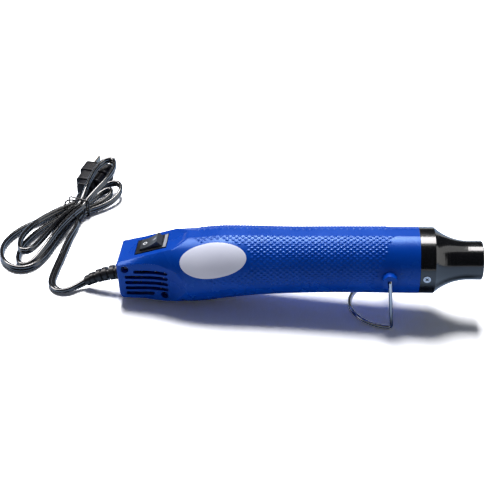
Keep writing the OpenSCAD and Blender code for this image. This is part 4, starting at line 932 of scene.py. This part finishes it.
def floor_finish():
    """A pale matt floor that the camera sees as white, with the object's shadow kept on it."""
    made = bpy.data.materials.new("floor_white")
    nodes, links = empty_tree(made)
    rays = nodes.new("ShaderNodeLightPath")
    lit = colour_mix(nodes, links, rays.outputs["Is Glossy Ray"], FLOOR_COLOUR, FLOOR_IN_GLOSS)
    seen = colour_mix(nodes, links, rays.outputs["Is Camera Ray"], lit, FLOOR_SEEN)
    diffuse = nodes.new("ShaderNodeBsdfDiffuse")
    links.new(seen.outputs["Result"], diffuse.inputs["Color"])
    where = nodes.new("ShaderNodeTexCoord")
    spread = nodes.new("ShaderNodeVectorMath")
    spread.operation = "LENGTH"
    far = add_node(nodes, "MapRange", From_Min=GLOW_NEAR, From_Max=GLOW_FAR, To_Min=GLOW_LEAST, To_Max=1.0)
    far.interpolation_type = "SMOOTHSTEP"
    strength = nodes.new("ShaderNodeMath")
    strength.operation = "MULTIPLY"
    glow, both = nodes.new("ShaderNodeEmission"), nodes.new("ShaderNodeAddShader")
    out = nodes.new("ShaderNodeOutputMaterial")
    links.new(where.outputs["Object"], spread.inputs[0])
    links.new(spread.outputs["Value"], far.inputs["Value"])
    links.new(far.outputs["Result"], strength.inputs[0])
    links.new(rays.outputs["Is Camera Ray"], strength.inputs[1])
    links.new(strength.outputs["Value"], glow.inputs["Strength"])
    links.new(diffuse.outputs["BSDF"], both.inputs[0])
    links.new(glow.outputs["Emission"], both.inputs[1])
    links.new(both.outputs["Shader"], out.inputs["Surface"])
    return made


def make_floor():
    mesh, size = bpy.data.meshes.new("floor"), FLOOR_SIZE
    mesh.from_pydata([(-size, -size, 0), (size, -size, 0), (size, size, 0), (-size, size, 0)], [],
                     [(0, 1, 2, 3)])
    mesh.materials.append(floor_finish())
    floor = link("floor", mesh)
    floor.location.z = -FLOOR_DROP


def make_world():
    """White to the camera, in gloss and through glass, and dim in all other light."""
    world = bpy.data.worlds.new("studio")
    bpy.context.scene.world = world
    nodes, links = empty_tree(world)
    dim = add_node(nodes, "Background", Color=STUDIO_DIM, Strength=0.14)
    white = add_node(nodes, "Background", Color=(1, 1, 1, 1), Strength=1.0)
    rays = nodes.new("ShaderNodeLightPath")
    seen = rays.outputs["Is Camera Ray"]
    for name in ("Is Glossy Ray", "Is Transmission Ray"):
        either = nodes.new("ShaderNodeMath")
        either.operation = "MAXIMUM"
        links.new(seen, either.inputs[0])
        links.new(rays.outputs[name], either.inputs[1])
        seen = either.outputs["Value"]
    mix, out = nodes.new("ShaderNodeMixShader"), nodes.new("ShaderNodeOutputWorld")
    links.new(seen, mix.inputs["Fac"])
    links.new(dim.outputs["Background"], mix.inputs[1])
    links.new(white.outputs["Background"], mix.inputs[2])
    links.new(mix.outputs["Shader"], out.inputs["Surface"])


def make_card(name, first, last, strength, colour=STUDIO_DIM, end_x=CARD_HALF, matt_light=False):
    """A curved card over the object that gloss shows, and that lights matt surfaces only where asked."""
    surface = bpy.data.materials.new(name)
    nodes, links = empty_tree(surface)
    paint = add_node(nodes, "Emission", Color=colour, Strength=strength)
    out = nodes.new("ShaderNodeOutputMaterial")
    links.new(paint.outputs["Emission"], out.inputs["Surface"])
    verts = [(x, -CARD_R * math.cos(a), CARD_R * math.sin(a))
             for a in np.radians(np.linspace(first, last, CARD_STEPS + 1)) for x in (-CARD_HALF, end_x)]
    mesh = bpy.data.meshes.new(name)
    mesh.from_pydata(verts, [], [(2 * k, 2 * k + 1, 2 * k + 3, 2 * k + 2) for k in range(CARD_STEPS)])
    mesh.materials.append(surface)
    card = link(name, mesh)
    card.visible_camera = card.visible_shadow = card.visible_transmission = False
    card.visible_diffuse = matt_light


def make_lamp(name, position, power):
    data = bpy.data.lights.new(name, "AREA")
    data.shape, data.size, data.size_y, data.energy = "RECTANGLE", LAMP_SIDE, LAMP_SIDE, power
    lamp = link(name, data)
    lamp.location = position
    lamp.rotation_mode = "QUATERNION"
    lamp.rotation_quaternion = (Vector(LAMP_TARGET) - Vector(position)).to_track_quat("-Z", "Y")


make_floor()
make_world()
make_card("front_card", 3, 86, 0.04, matt_light=True)
make_card("soft_box", 94, 120, 11, colour=(1, 0.96, 0.96, 1), end_x=SOFT_BOX_END)
make_card("back_card", 122, 172, 0.05)
make_lamp("key", (-0.3, 0.90, 2.77), 72)
make_lamp("back_key", (-0.3, 1.54, 2.47), 76)

bpy.context.scene.view_settings.view_transform = "Standard"
